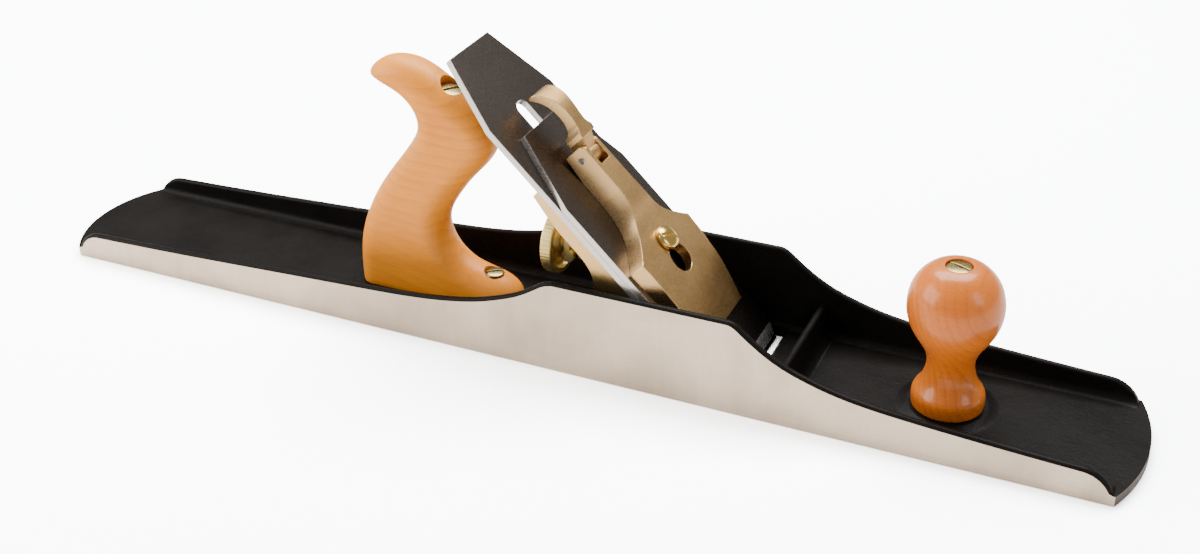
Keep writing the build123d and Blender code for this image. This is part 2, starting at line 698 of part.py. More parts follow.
# ---------------------------------------------------------------- lever cap and its cam
def make_lever_cap():
    with BuildPart() as lever_cap:
        # Side profile: thin front edge, low crown over the screw, thick neck
        with BuildSketch(SIDE):
            with BuildLine():
                Polyline((84, 11.5), (66, 11.1), (56, 10.3))
                Spline((56, 10.3), (42, 8.2), (LC_FRONT, LC_UNDER + 0.9),
                       tangents=[(-1, -0.1), (-0.9, -0.45)])
                Polyline((LC_FRONT, LC_UNDER + 0.9), (LC_FRONT, LC_UNDER), (118, LC_UNDER),
                         (LC_END, 4.9), (LC_END, LC_TOP - 2.6))
                RadiusArc((LC_END, LC_TOP - 2.6), (LC_END - 2.6, LC_TOP), -2.6)
                Line((LC_END - 2.6, LC_TOP), (106, LC_TOP - 0.1))
                Spline((106, LC_TOP - 0.1), (95, 14.0), (84, 11.5), tangents=[(-1, 0), (-1, -0.05)])
            make_face()
        extrude(amount=30, both=True)
        # Plan: straight cheeks, concave sweep into the neck
        with BuildSketch(BED):
            with BuildLine():
                Polyline((LC_FRONT - 1, 0), (LC_FRONT - 1, 22.9), (52, 25.8), (74.6, 27.2))
                Spline((74.6, 27.2), (78.6, 21.6), (84.8, 15.0), (93, 10.4), (106, LC_NECK + 0.3),
                       tangents=[(0.25, -1), (1, -0.05)])
                Polyline((106, LC_NECK + 0.3), (LC_END + 1, LC_NECK), (LC_END + 1, 0),
                         (LC_FRONT - 1, 0))
            make_face()
            mirror(about=Plane.XZ)
        extrude(amount=30, mode=Mode.INTERSECT)
        # Hollow underside
        with BuildSketch(BED.offset(LC_UNDER - 1)):
            with BuildLine():
                Polyline((46, 0), (46, 19), (72, 21))
                Spline((72, 21), (80, 13), (90, 6.4), tangents=[(0.4, -1), (1, -0.25)])
                Polyline((90, 6.4), (LC_END + 1, 5.9), (LC_END + 1, 0), (46, 0))
            make_face()
            mirror(about=Plane.XZ)
        extrude(amount=3.6, mode=Mode.SUBTRACT)
        # Keyhole
        with BuildSketch(BED):
            with Locations((KEY_U, 0)):
                Circle(KEY_R)
            with Locations(((KEY_U + LEVER_SCREW_U) / 2, 0)):
                SlotOverall(LEVER_SCREW_U - KEY_U + 2 * KEY_SLOT_R, 2 * KEY_SLOT_R)
        extrude(amount=30, mode=Mode.SUBTRACT)
        # Slot for the cam, its pin hole, and the rivet hole for the spring
        with BuildSketch(BED):
            with Locations((LC_END - 6, 0)):
                Rectangle(14.6, CAM_SLOT_W)
        extrude(amount=30, mode=Mode.SUBTRACT)
        with BuildSketch(SIDE):
            with Locations((CAM_U, CAM_N)):
                Circle(CAM_PIN_R)
        extrude(amount=20, both=True, mode=Mode.SUBTRACT)
        with BuildSketch(BED.offset(LC_UNDER)):
            with Locations((SPRING_U, 0)):
                Circle(SPRING_RIVET_R)
        extrude(amount=6, mode=Mode.SUBTRACT)
    save(lever_cap, "lever_cap")


def make_lever_cap_spring():
    ceiling = SPRING_CEILING
    with BuildPart() as lever_cap_spring:
        with BuildSketch(SIDE):
            with BuildLine():
                Polyline((91, ceiling), (104, ceiling), (121, LC_UNDER + 0.75), (131, LC_UNDER + 0.75),
                         (131, LC_UNDER), (120.8, LC_UNDER), (103.8, ceiling - SPRING_T),
                         (91, ceiling - SPRING_T), close=True)
            make_face()
        extrude(amount=5.2, both=True)
        with BuildSketch(BED):
            with Locations((SPRING_U, 0)):
                Circle(SPRING_RIVET_R)
        extrude(amount=10, mode=Mode.SUBTRACT)
    save(lever_cap_spring, "lever_cap_spring")


def make_spring_rivet():
    ceiling = SPRING_CEILING
    with BuildPart() as spring_rivet:
        with BuildSketch(BED.offset(ceiling - SPRING_T)):
            with Locations((SPRING_U, 0)):
                Circle(SPRING_RIVET_R)
        extrude(amount=LC_UNDER + 6 - ceiling + SPRING_T)
        with BuildSketch(BED.offset(ceiling - SPRING_T)):
            with Locations((SPRING_U, 0)):
                Circle(3.0)
        extrude(amount=-1.2, taper=15)
    save(spring_rivet, "spring_rivet")


def make_cam_pin():
    with BuildPart() as cam_pin:
        with BuildSketch(SIDE):
            with Locations((CAM_U, CAM_N)):
                Circle(CAM_PIN_R)
        extrude(amount=LC_NECK - 0.1, both=True)
    save(cam_pin, "cam_pin")


def make_cam_lever():
    with BuildPart() as cam_lever:
        # Off-centre hub in the slot, with the web that leaves it
        with BuildSketch(SIDE):
            with Locations((CAM_U, CAM_N - 0.6)):
                Circle(5.3)
            with BuildLine():
                Polyline((CAM_U + 2, CAM_N - 4.4), (135.5, 8.8), (135.5, 18.0), (CAM_U + 2, 14.6),
                         close=True)
            make_face()
        extrude(amount=CAM_SLOT_W / 2 - 0.2, both=True)
        # Curved thumb lever
        with BuildSketch(SIDE):
            with BuildLine():
                Polyline((134.4, 9.4), (138.6, 9.0))
                Spline((138.6, 9.0), (142, 13.0), (150, 14.6), (158.5, 13.0), (163.4, 9.2),
                       tangents=[(0.4, 1), (0.7, -0.7)])
                Polyline((163.4, 9.2), (164.2, 10.2))
                Spline((164.2, 10.2), (161, 16.6), (153, 19.8), (143, 19.2), (134.4, 18.4),
                       tangents=[(-0.15, 1), (-1, 0.05)])
                Line((134.4, 18.4), (134.4, 9.4))
            make_face()
        extrude(amount=8, both=True)
        # Plan of the lever: flared root, waist, broad tip
        with BuildSketch(BED):
            with BuildLine():
                Polyline((CAM_U - 8, 0), (CAM_U - 8, 4.0), (134.4, 4.0), (134.4, 7.3), (137.4, 7.3))
                Spline((137.4, 7.3), (143.5, 5.0), (152, 5.6), (166, 7.6),
                       tangents=[(0.8, -1), (1, 0.2)])
                Polyline((166, 7.6), (166, 0), (CAM_U - 8, 0))
            make_face()
            mirror(about=Plane.XZ)
        extrude(amount=40, mode=Mode.INTERSECT)
        with BuildSketch(SIDE):
            with Locations((CAM_U, CAM_N)):
                Circle(CAM_PIN_R + 0.05)
        extrude(amount=20, both=True, mode=Mode.SUBTRACT)
    save(cam_lever, "cam_lever")


# ---------------------------------------------------------------- tote
def make_tote():
    with BuildPart() as tote:
        with BuildSketch(Plane.XZ):
            with BuildLine():
                toe = (-13.0, TOTE_SEAT_Z)
                heel = (-107.0, TOTE_SEAT_Z)
                Spline(toe, (-13.0, 14.5), (-20.5, 21.0), (-32, 23.6), (-45.0, 27.0), (-53.6, 34.5),
                       (-56.6, 45.0), (-50.6, 59.6), (-38.2, 75.5), (-26.3, 91.5), (-25.0, 104.0),
                       (-39.0, 123.0), (-54, 130.4), (-66, 133.0), (-80, 131.8), (-90.0, 127.6),
                       (-93.6, 122.4), (-88.5, 118.4), (-77.9, 114.4), (-70.6, 108.0), (-68.2, 99.0),
                       (-70.6, 90.6), (-81.1, 75.8), (-92.3, 60.4), (-100.4, 45.4), (-105.2, 31.0),
                       heel)
                Line(heel, toe)
            make_face()
        extrude(amount=TOTE_HALF_T, both=True)
        outline = tote.edges().filter_by(lambda edge: edge.length > 200)
        fillet(outline, TOTE_EDGE_R)
        # Rod bore with its nut recess, and the toe screw hole with its counterbore
        with BuildSketch(rod_plane(0)):
            Circle(ROD_R + HANDLE_GAP)
        extrude(amount=-rod_length() - 4, mode=Mode.SUBTRACT)
        with BuildSketch(rod_plane(NUT_SINK)):
            Circle(NUT_R + 0.15)
        extrude(amount=40, mode=Mode.SUBTRACT)
        with BuildSketch(Plane.XY.offset(0)):
            with Locations((TOE_SCREW_X, 0)):
                Circle(TOE_SCREW_R + 0.2)
        extrude(amount=50, mode=Mode.SUBTRACT)
        with BuildSketch(Plane.XY.offset(TOE_SCREW_HEAD_Z)):
            with Locations((TOE_SCREW_X, 0)):
                Circle(TOE_SCREW_HEAD_R + 0.2)
        extrude(amount=12, mode=Mode.SUBTRACT)
    save(tote, "tote")


def make_tote_rod():
    with BuildPart() as tote_rod:
        with BuildSketch(rod_plane(rod_length() + 2.6)):
            Circle(ROD_R)
        extrude(amount=rod_length() + 2.6 - 6)
    save(tote_rod, "tote_rod")


def make_round_nut(plane, name):
    """Make a slotted round handle nut, its head above the plane and its sleeve below."""
    with BuildPart() as nut:
        with BuildSketch(plane):
            Circle(NUT_R)
        extrude(amount=NUT_HEAD)
        chamfer(nut.faces().sort_by(Axis.Z)[-1].edges(), 0.5)
        with BuildSketch(plane):
            Circle(ROD_R + 0.2)
        extrude(amount=-3.6)
        with BuildSketch(plane.offset(1.2)):
            Rectangle(16, 1.5)
        extrude(amount=3, mode=Mode.SUBTRACT)
    save(nut, name)


def make_tote_toe_screw():
    with BuildPart() as tote_toe_screw:
        with BuildSketch(Plane.XY.offset(1.8)):
            with Locations((TOE_SCREW_X, 0)):
                Circle(TOE_SCREW_R)
        extrude(amount=TOE_SCREW_HEAD_Z - 1.8)
        with BuildSketch(Plane.XY.offset(TOE_SCREW_HEAD_Z)):
            with Locations((TOE_SCREW_X, 0)):
                Circle(TOE_SCREW_HEAD_R)
        extrude(amount=2.6)
        fillet(tote_toe_screw.faces().sort_by(Axis.Z)[-1].edges(), 1.2)
        with BuildSketch(Plane.XY.offset(TOE_SCREW_HEAD_Z + 1.5)):
            with Locations(Location((TOE_SCREW_X, 0, 0), (0, 0, 20))):
                Rectangle(1.3, 12)
        extrude(amount=3, mode=Mode.SUBTRACT)
    save(tote_toe_screw, "tote_toe_screw")


# ---------------------------------------------------------------- knob
def make_knob():
    base_z = FLOOR_T + BOSS_H
    bore_r = ROD_R + HANDLE_GAP
    recess_r = NUT_R + 0.15
    with BuildPart() as knob:
        with BuildSketch(Plane.XZ):
            with BuildLine():
                Polyline((bore_r, base_z), (15.6, base_z), (16.0, base_z + 1.0))
                Spline((16.0, base_z + 1.0), (16.2, 11), (15.3, 15.2), tangents=[(0.1, 1), (-0.6, 1)])
                Spline((15.3, 15.2), (12.2, 20.6), (10.6, 27.6), (12.4, 35.2), (18.2, 44.6),
                       (21.5, 55.4), (19.2, 67.0), (12.4, 74.6), (recess_r + 1, 76.6),
                       tangents=[(-0.7, 0.7), (-1, 0.14)])
                Polyline((recess_r + 1, 76.6), (recess_r, 76.4), (recess_r, KNOB_NUT_Z),
                         (bore_r, KNOB_NUT_Z), (bore_r, base_z))
            make_face()
        revolve(axis=Axis.Z)
    knob.part.position = (KNOB_X, 0, 0)
    save(knob, "knob")


def make_knob_stud():
    with BuildPart() as knob_stud:
        with BuildSketch(Plane.XY.offset(1.8)):
            with Locations((KNOB_X, 0)):
                Circle(ROD_R)
        extrude(amount=66)
    save(knob_stud, "knob_stud")


os.makedirs("parts", exist_ok=True)
make_plane_body()
make_frog()
make_frog_pins()
make_frog_clamp_screws()
make_frog_tab()
make_frog_tab_screw()
make_frog_adjusting_screw()
make_lever_cap_screw()
make_adjuster_stud()
make_adjuster_wheel()
make_yoke()
make_yoke_pin()
make_lateral_lever()
make_lateral_roller()
make_lateral_rivet()
make_blade()
make_cap_iron()
make_cap_iron_screw()
make_lever_cap()
make_lever_cap_spring()
make_spring_rivet()
make_cam_pin()
make_cam_lever()
make_tote()
make_tote_rod()
make_round_nut(rod_plane(NUT_SINK), "tote_nut")
make_tote_toe_screw()
make_knob()
make_knob_stud()
make_round_nut(Plane(origin=(KNOB_X, 0, KNOB_NUT_Z)), "knob_nut")
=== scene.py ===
"""Looks of a long iron bench plane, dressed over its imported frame.

Shapes are drawn in millimetres in the plane's own axes, X to the toe and Z up, and are scaled to metres when
they are finished.
"""
from __future__ import annotations

import json
import logging
import math
from dataclasses import dataclass
from enum import Enum
from typing import Sequence

import bpy
import numpy as np
from mathutils import Matrix, Vector

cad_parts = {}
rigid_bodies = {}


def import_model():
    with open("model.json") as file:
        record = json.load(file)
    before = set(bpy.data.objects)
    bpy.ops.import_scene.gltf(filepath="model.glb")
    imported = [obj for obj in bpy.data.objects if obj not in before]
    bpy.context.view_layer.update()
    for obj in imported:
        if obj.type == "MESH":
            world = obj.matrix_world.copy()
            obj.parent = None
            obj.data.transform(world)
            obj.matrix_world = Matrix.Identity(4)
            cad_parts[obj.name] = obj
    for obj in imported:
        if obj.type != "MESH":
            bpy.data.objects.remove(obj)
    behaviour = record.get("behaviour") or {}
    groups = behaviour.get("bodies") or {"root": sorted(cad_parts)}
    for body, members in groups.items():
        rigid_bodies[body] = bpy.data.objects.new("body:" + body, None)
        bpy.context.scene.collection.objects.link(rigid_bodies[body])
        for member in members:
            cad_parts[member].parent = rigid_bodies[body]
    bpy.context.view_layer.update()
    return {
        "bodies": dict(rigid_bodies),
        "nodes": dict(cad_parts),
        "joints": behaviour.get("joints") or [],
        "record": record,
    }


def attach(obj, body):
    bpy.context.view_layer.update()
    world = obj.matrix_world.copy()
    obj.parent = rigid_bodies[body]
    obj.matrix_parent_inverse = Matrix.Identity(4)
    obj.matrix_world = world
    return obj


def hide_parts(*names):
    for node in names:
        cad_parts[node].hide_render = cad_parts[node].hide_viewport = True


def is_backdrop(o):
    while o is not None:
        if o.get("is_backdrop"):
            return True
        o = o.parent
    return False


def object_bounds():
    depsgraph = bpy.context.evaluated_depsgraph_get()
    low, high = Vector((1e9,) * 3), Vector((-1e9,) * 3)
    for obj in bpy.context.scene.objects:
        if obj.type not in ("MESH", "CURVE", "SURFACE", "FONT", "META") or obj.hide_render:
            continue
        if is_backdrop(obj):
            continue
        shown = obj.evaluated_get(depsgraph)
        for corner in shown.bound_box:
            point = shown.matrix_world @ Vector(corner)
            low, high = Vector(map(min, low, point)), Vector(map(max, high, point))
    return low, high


LOG = logging.getLogger("bench_plane")
Point = tuple[float, float]
Colour = tuple[float, float, float]
MM = 0.001  # metres in a millimetre
SLOPE = math.sqrt(0.5)  # sine and cosine of the 45 degree bed
OFF_BED = Vector((SLOPE, 0, SLOPE))  # the way that the bed faces
EDGE_X = 104.5  # where the bed meets the sole
FLAT_FACED = 50.0  # pieces smoothed by less than this angle keep their broad faces flat


class Frame(Enum):
    """The drawing planes: each turns a drawing's own axes into the plane's."""

    PLAN = "plan"
    FRONT = "front"
    SIDE = "side"
    BED = "bed"
    WHEEL = "wheel"

    def matrix(self) -> Matrix:
        """Give the place and turn of this drawing plane.

        Returns:
            The turn and shift from the drawing's axes to the plane's.
        """
        columns = {
            Frame.PLAN: ((1, 0, 0), (0, 1, 0), (0, 0, 1), (0, 0, 0)),
            Frame.FRONT: ((1, 0, 0), (0, 0, 1), (0, -1, 0), (0, 0, 0)),
            Frame.SIDE: ((-SLOPE, 0, SLOPE), (SLOPE, 0, SLOPE), (0, 1, 0), (EDGE_X, 0, 0)),
            Frame.BED: ((-SLOPE, 0, SLOPE), (0, -1, 0), (SLOPE, 0, SLOPE), (EDGE_X, 0, 0)),
            Frame.WHEEL: ((0, 0, -1), (0, 1, 0), (1, 0, 0), (0, 0, 0)),
        }[self]
        return Matrix([[col[row] for col in columns] for row in range(3)] + [[0, 0, 0, 1]])


class Slot(Enum):
    """Material slots of the record, named for each new piece but not read when it is finished."""

    CASTING = "painted_casting"
    BRONZE = "bronze"
    BRASS = "brass"
    TOOL_STEEL = "tool_steel"
    TOTE = "tote_cherry"
    KNOB = "knob_cherry"


def flowing(points: Sequence[Point], per: int = 6) -> list[Point]:
    """Draw a smooth natural curve through points.

    Args:
        points: Places that the curve passes through, in order.
        per: Steps drawn between each pair of points.

    Returns:
        The points of the curve, the first and last included.
    """
    knots = np.array(points, float)
    gaps = np.linalg.norm(np.diff(knots, axis=0), axis=1)
    count = len(knots)
    system = np.eye(count)
    rhs = np.zeros((count, 2))
    for i in range(1, count - 1):
        system[i, i - 1] = gaps[i - 1]
        system[i, i] = 2 * (gaps[i - 1] + gaps[i])
        system[i, i + 1] = gaps[i]
        rhs[i] = 6 * ((knots[i + 1] - knots[i]) / gaps[i] - (knots[i] - knots[i - 1]) / gaps[i - 1])
    curl = np.linalg.solve(system, rhs)
    drawn = []
    for i in range(count - 1):
        gap = gaps[i]
        for gone in np.linspace(0, gap, per, endpoint=False):
            left = gap - gone
            place = (curl[i] * left**3 + curl[i + 1] * gone**3) / (6 * gap)
            place = place + (knots[i] / gap - curl[i] * gap / 6) * left
            place = place + (knots[i + 1] / gap - curl[i + 1] * gap / 6) * gone
            drawn.append((float(place[0]), float(place[1])))
    drawn.append((float(knots[-1][0]), float(knots[-1][1])))
    return drawn


def arc(centre: Point, radius: float, start: float, end: float, steps: int = 10) -> list[Point]:
    """Return points on a circular arc between two angles in degrees."""
    angles = [math.radians(start + (end - start) * i / steps) for i in range(steps + 1)]
    return [(centre[0] + radius * math.cos(a), centre[1] + radius * math.sin(a)) for a in angles]


def mirrored(half: Sequence[Point]) -> list[Point]:
    """Return a closed outline from its upper half, mirrored in the first axis."""
    return list(half) + [(a, -b) for a, b in reversed(half) if abs(b) > 1e-6]


# ---------------------------------------------------------------- modelling moves
class Bench:
    """Modelling moves shared by every sub-assembly, each made with Blender's own operators."""

    @staticmethod
    def select(piece: bpy.types.Object) -> None:
        """Leave only one piece selected and active.

        Args:
            piece: The piece to work on.
        """
        bpy.ops.object.select_all(action="DESELECT")
        piece.select_set(True)
        bpy.context.view_layer.objects.active = piece

    @staticmethod
    def slab(name: str, outline: Sequence[Point], low: float, high: float, frame: Matrix,
             draft: float = 0.0) -> bpy.types.Object:
        """Extrude a flat outline into a solid.

        Args:
            name: Piece name.
            outline: Corners in the drawing plane, in mm.
            low: Where the solid starts, square to the drawing.
            high: Where it ends.
            frame: Turn from the drawing's axes to the plane's.
            draft: How far the high end draws in towards the middle line on each side.

        Returns:
            The solid, in mm.
        """
        bpy.ops.object.select_all(action="DESELECT")
        bpy.ops.mesh.primitive_circle_add(vertices=len(outline), radius=1.0, fill_type="NGON")
        piece = bpy.context.object
        piece.name = name
        for corner, (a, b) in zip(piece.data.vertices, outline):
            corner.co = (a, b, low)
        bpy.ops.object.mode_set(mode="EDIT")
        bpy.ops.mesh.select_all(action="SELECT")
        bpy.ops.mesh.extrude_region_move(TRANSFORM_OT_translate={"value": (0, 0, high - low)})
        bpy.ops.mesh.select_all(action="SELECT")
        bpy.ops.mesh.normals_make_consistent(inside=False)
        bpy.ops.object.mode_set(mode="OBJECT")
        for corner in piece.data.vertices:
            if draft and corner.co.z > (low + high) / 2:
                corner.co.y -= math.copysign(draft, corner.co.y)
        piece.data.transform(frame)
        Bench.face_out(piece)
        return piece

    @staticmethod
    def turned(name: str, profile: Sequence[Point], steps: int, frame: Matrix) -> bpy.types.Object:
        """Spin a closed profile of (radius, height) about its own upright axis.

        Args:
            name: Piece name.
            profile: Corners of the closed profile, in mm; a radius of 0 lies on the axis.
            steps: Faces round the circle.
            frame: Turn from the lathe's axes to the plane's.

        Returns:
            The turned solid, in mm.
        """
        bpy.ops.object.select_all(action="DESELECT")
        bpy.ops.mesh.primitive_circle_add(vertices=len(profile), radius=1.0, fill_type="NOTHING")
        piece = bpy.context.object
        piece.name = name
        for corner, (radius, height) in zip(piece.data.vertices, profile):
            corner.co = (radius, 0, height)
        bpy.ops.object.mode_set(mode="EDIT")
        bpy.ops.mesh.select_all(action="SELECT")
        bpy.ops.mesh.spin(steps=steps, angle=2 * math.pi, center=(0, 0, 0), axis=(0, 0, 1))
        bpy.ops.mesh.select_all(action="SELECT")
        bpy.ops.mesh.remove_doubles(threshold=0.001)
        bpy.ops.mesh.dissolve_degenerate(threshold=0.0005)
        bpy.ops.mesh.delete_loose(use_verts=True, use_edges=True, use_faces=False)
        bpy.ops.object.mode_set(mode="OBJECT")
        piece.data.transform(frame)
        Bench.face_out(piece)
        return piece

    @staticmethod
    def face_out(piece: bpy.types.Object) -> None:
        """Turn every face outwards.

        Args:
            piece: A closed solid.
        """
        Bench.select(piece)
        bpy.ops.object.mode_set(mode="EDIT")
        bpy.ops.mesh.select_all(action="SELECT")
        bpy.ops.mesh.normals_make_consistent(inside=False)
        bpy.ops.mesh.select_all(action="DESELECT")
        bpy.ops.object.mode_set(mode="OBJECT")

    @staticmethod
    def apply(piece: bpy.types.Object, kind: str, **settings: object) -> None:
        """Add one modifier and apply it.

        Args:
            piece: The piece that it changes.
            kind: The modifier's type.
            **settings: Its properties by name.
        """
        Bench.select(piece)
        modifier = piece.modifiers.new(kind.title(), kind)
        for key, value in settings.items():
            setattr(modifier, key, value)
        bpy.ops.object.modifier_apply(modifier=modifier.name)

    @staticmethod
    def join_with(piece: bpy.types.Object, tools: Sequence[bpy.types.Object],
                  how: str = "DIFFERENCE") -> None:
        """Cut, join or intersect a piece with other solids, which are used up.

        Args:
            piece: The solid that is kept.
            tools: The solids that it meets, in order.
            how: DIFFERENCE, UNION or INTERSECT.
        """
        for tool in tools:
            Bench.apply(piece, "BOOLEAN", operation=how, object=tool, solver="EXACT")
            bpy.data.objects.remove(tool, do_unlink=True)

    @staticmethod
    def ease(piece: bpy.types.Object, width: float, segments: int = 3, angle: float = 35.0) -> None:
        """Round every edge sharper than an angle by a width in mm."""
        Bench.apply(piece, "BEVEL", width=width, segments=segments, limit_method="ANGLE",
                    angle_limit=math.radians(angle), use_clamp_overlap=True, miter_outer="MITER_ARC")

    @staticmethod
    def long_hole(ends: Point, radius: float, depth: Point) -> bpy.types.Object:
        """Make the cutter of a round-ended slot that runs up the bed.

        Args:
            ends: How far up the bed the slot starts and ends.
            radius: Half its width.
            depth: Where the cutter starts and ends, square to the bed.

        Returns:
            The cutter, in mm.
        """
        low, high = ends
        shape = arc((high - radius, 0), radius, -90, 90, 14) + arc((low + radius, 0), radius, 90, 270, 14)
        return Bench.slab("hole", shape, depth[0], depth[1], Frame.BED.matrix())

    @staticmethod
    def finish(piece: bpy.types.Object, body: str, slot: Slot, nodes: Sequence[str],
               finish: bpy.types.Material, smooth: float = 32.0) -> bpy.types.Object:
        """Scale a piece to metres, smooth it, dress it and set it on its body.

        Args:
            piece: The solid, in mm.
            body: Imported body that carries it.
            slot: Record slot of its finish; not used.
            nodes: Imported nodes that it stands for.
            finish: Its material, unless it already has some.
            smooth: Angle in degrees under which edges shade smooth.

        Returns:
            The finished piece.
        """
        Bench.select(piece)
        piece.data.transform(Matrix.Scale(MM, 4))
        bpy.ops.object.shade_smooth_by_angle(angle=math.radians(smooth))
        if smooth < FLAT_FACED:
            Bench.apply(piece, "WEIGHTED_NORMAL", keep_sharp=True)
        if not piece.data.materials:
            piece.data.materials.append(finish)
        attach(piece, body)
        if nodes:
            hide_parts(*nodes)
        LOG.info("%s rides on %s with %d faces", piece.name, body, len(piece.data.polygons))
        return piece


# ---------------------------------------------------------------- shader building
class Recipe:
    """A node tree under construction, with short calls for the nodes that the finishes use."""

    def __init__(self, tree: bpy.types.NodeTree) -> None:
        """Keep the tree that nodes are added to."""
        self.tree = tree

    def node(self, kind: str, **settings: object) -> bpy.types.Node:
        """Add a node.

        Args:
            kind: The node's type.
            **settings: Its properties by name.

        Returns:
            The new node.
        """
        made = self.tree.nodes.new(kind)
        for key, value in settings.items():
            setattr(made, key, value)
        return made

    def feed(self, socket: bpy.types.NodeSocket, value: object) -> None:
        """Give an input its value.

        Args:
            socket: The input.
            value: A socket to link into it, or a plain number or colour.
        """
        if isinstance(value, bpy.types.NodeSocket):
            self.tree.links.new(value, socket)
        elif isinstance(value, tuple) and len(value) == 3 and socket.type == "RGBA":
            socket.default_value = (*value, 1.0)
        else:
            socket.default_value = value

    def place(self, scale: Sequence[float], centre: Sequence[float] = (0, 0, 0),
              turn: Sequence[float] = (0, 0, 0)) -> bpy.types.NodeSocket:
        """Place a pattern on object coordinates.

        Args:
            scale: How finely the pattern repeats along each axis.
            centre: Shift of the pattern.
            turn: Its turn about each axis, in degrees.

        Returns:
            The placed coordinates.
        """
        coords = self.node("ShaderNodeTexCoord")
        mapping = self.node("ShaderNodeMapping")
        mapping.inputs["Location"].default_value = tuple(centre)
        mapping.inputs["Rotation"].default_value = tuple(math.radians(t) for t in turn)
        mapping.inputs["Scale"].default_value = tuple(scale)
        self.feed(mapping.inputs["Vector"], coords.outputs["Object"])
        return mapping.outputs["Vector"]

    def noise(self, vector: bpy.types.NodeSocket, scale: object, detail: float = 4.0,
              rough: float = 0.55, twist: float = 0.0) -> bpy.types.NodeSocket:
        """Add a noise.

        Args:
            vector: The coordinates that it is read at.
            scale: Its scale, as a number or a socket.
            detail: How many finer layers it has.
            rough: How strong each finer layer is.
            twist: How far it is warped.

        Returns:
            The noise's value.
        """
        made = self.node("ShaderNodeTexNoise")
        self.feed(made.inputs["Vector"], vector)
        self.feed(made.inputs["Scale"], scale)
        made.inputs["Detail"].default_value = detail
        made.inputs["Roughness"].default_value = rough
        made.inputs["Distortion"].default_value = twist
        return made.outputs["Fac"]

    def math(self, how: str, a: object, b: object = 0.0, clamp: bool = False) -> bpy.types.NodeSocket:
        """Add one sum.

        Args:
            how: The kind of sum.
            a: First number or socket.
            b: Second number or socket.
            clamp: Whether the result is held between 0 and 1.

        Returns:
            The result.
        """
        made = self.node("ShaderNodeMath", operation=how, use_clamp=clamp)
        self.feed(made.inputs[0], a)
        self.feed(made.inputs[1], b)
        return made.outputs[0]

    def span(self, value: bpy.types.NodeSocket, low: float, high: float, to_low: object = 0.0,
             to_high: object = 1.0) -> bpy.types.NodeSocket:
        """Move a value from one range to another, held at the ends.

        Args:
            value: The value to move.
            low: Start of its range.
            high: End of its range.
            to_low: What the start becomes.
            to_high: What the end becomes.

        Returns:
            The moved value.
        """
        made = self.node("ShaderNodeMapRange")
        self.feed(made.inputs["Value"], value)
        self.feed(made.inputs["From Min"], low)
        self.feed(made.inputs["From Max"], high)
        self.feed(made.inputs["To Min"], to_low)
        self.feed(made.inputs["To Max"], to_high)
        return made.outputs["Result"]

    def blend(self, share: object, first: object, second: object, how: str = "MIX") -> bpy.types.NodeSocket:
        """Mix two colours.

        Args:
            share: Share of the second colour.
            first: First colour.
            second: Second colour.
            how: The kind of mix.

        Returns:
            The mixed colour.
        """
        made = self.node("ShaderNodeMix", data_type="RGBA", blend_type=how)
        self.feed(made.inputs["Factor"], share)
        self.feed(made.inputs[6], first)
        self.feed(made.inputs[7], second)
        return made.outputs[2]

    def bump(self, height: bpy.types.NodeSocket, depth: float, base: object = None) -> bpy.types.NodeSocket:
        """Raise the surface by a height.

        Args:
            height: The height's pattern.
            depth: What a height of 1 stands for, in metres.
            base: Normal that it is laid over.

        Returns:
            The raised normal.
        """
        made = self.node("ShaderNodeBump")
        made.inputs["Distance"].default_value = depth
        self.feed(made.inputs["Height"], height)
        if base is not None:
            self.feed(made.inputs["Normal"], base)
        return made.outputs["Normal"]


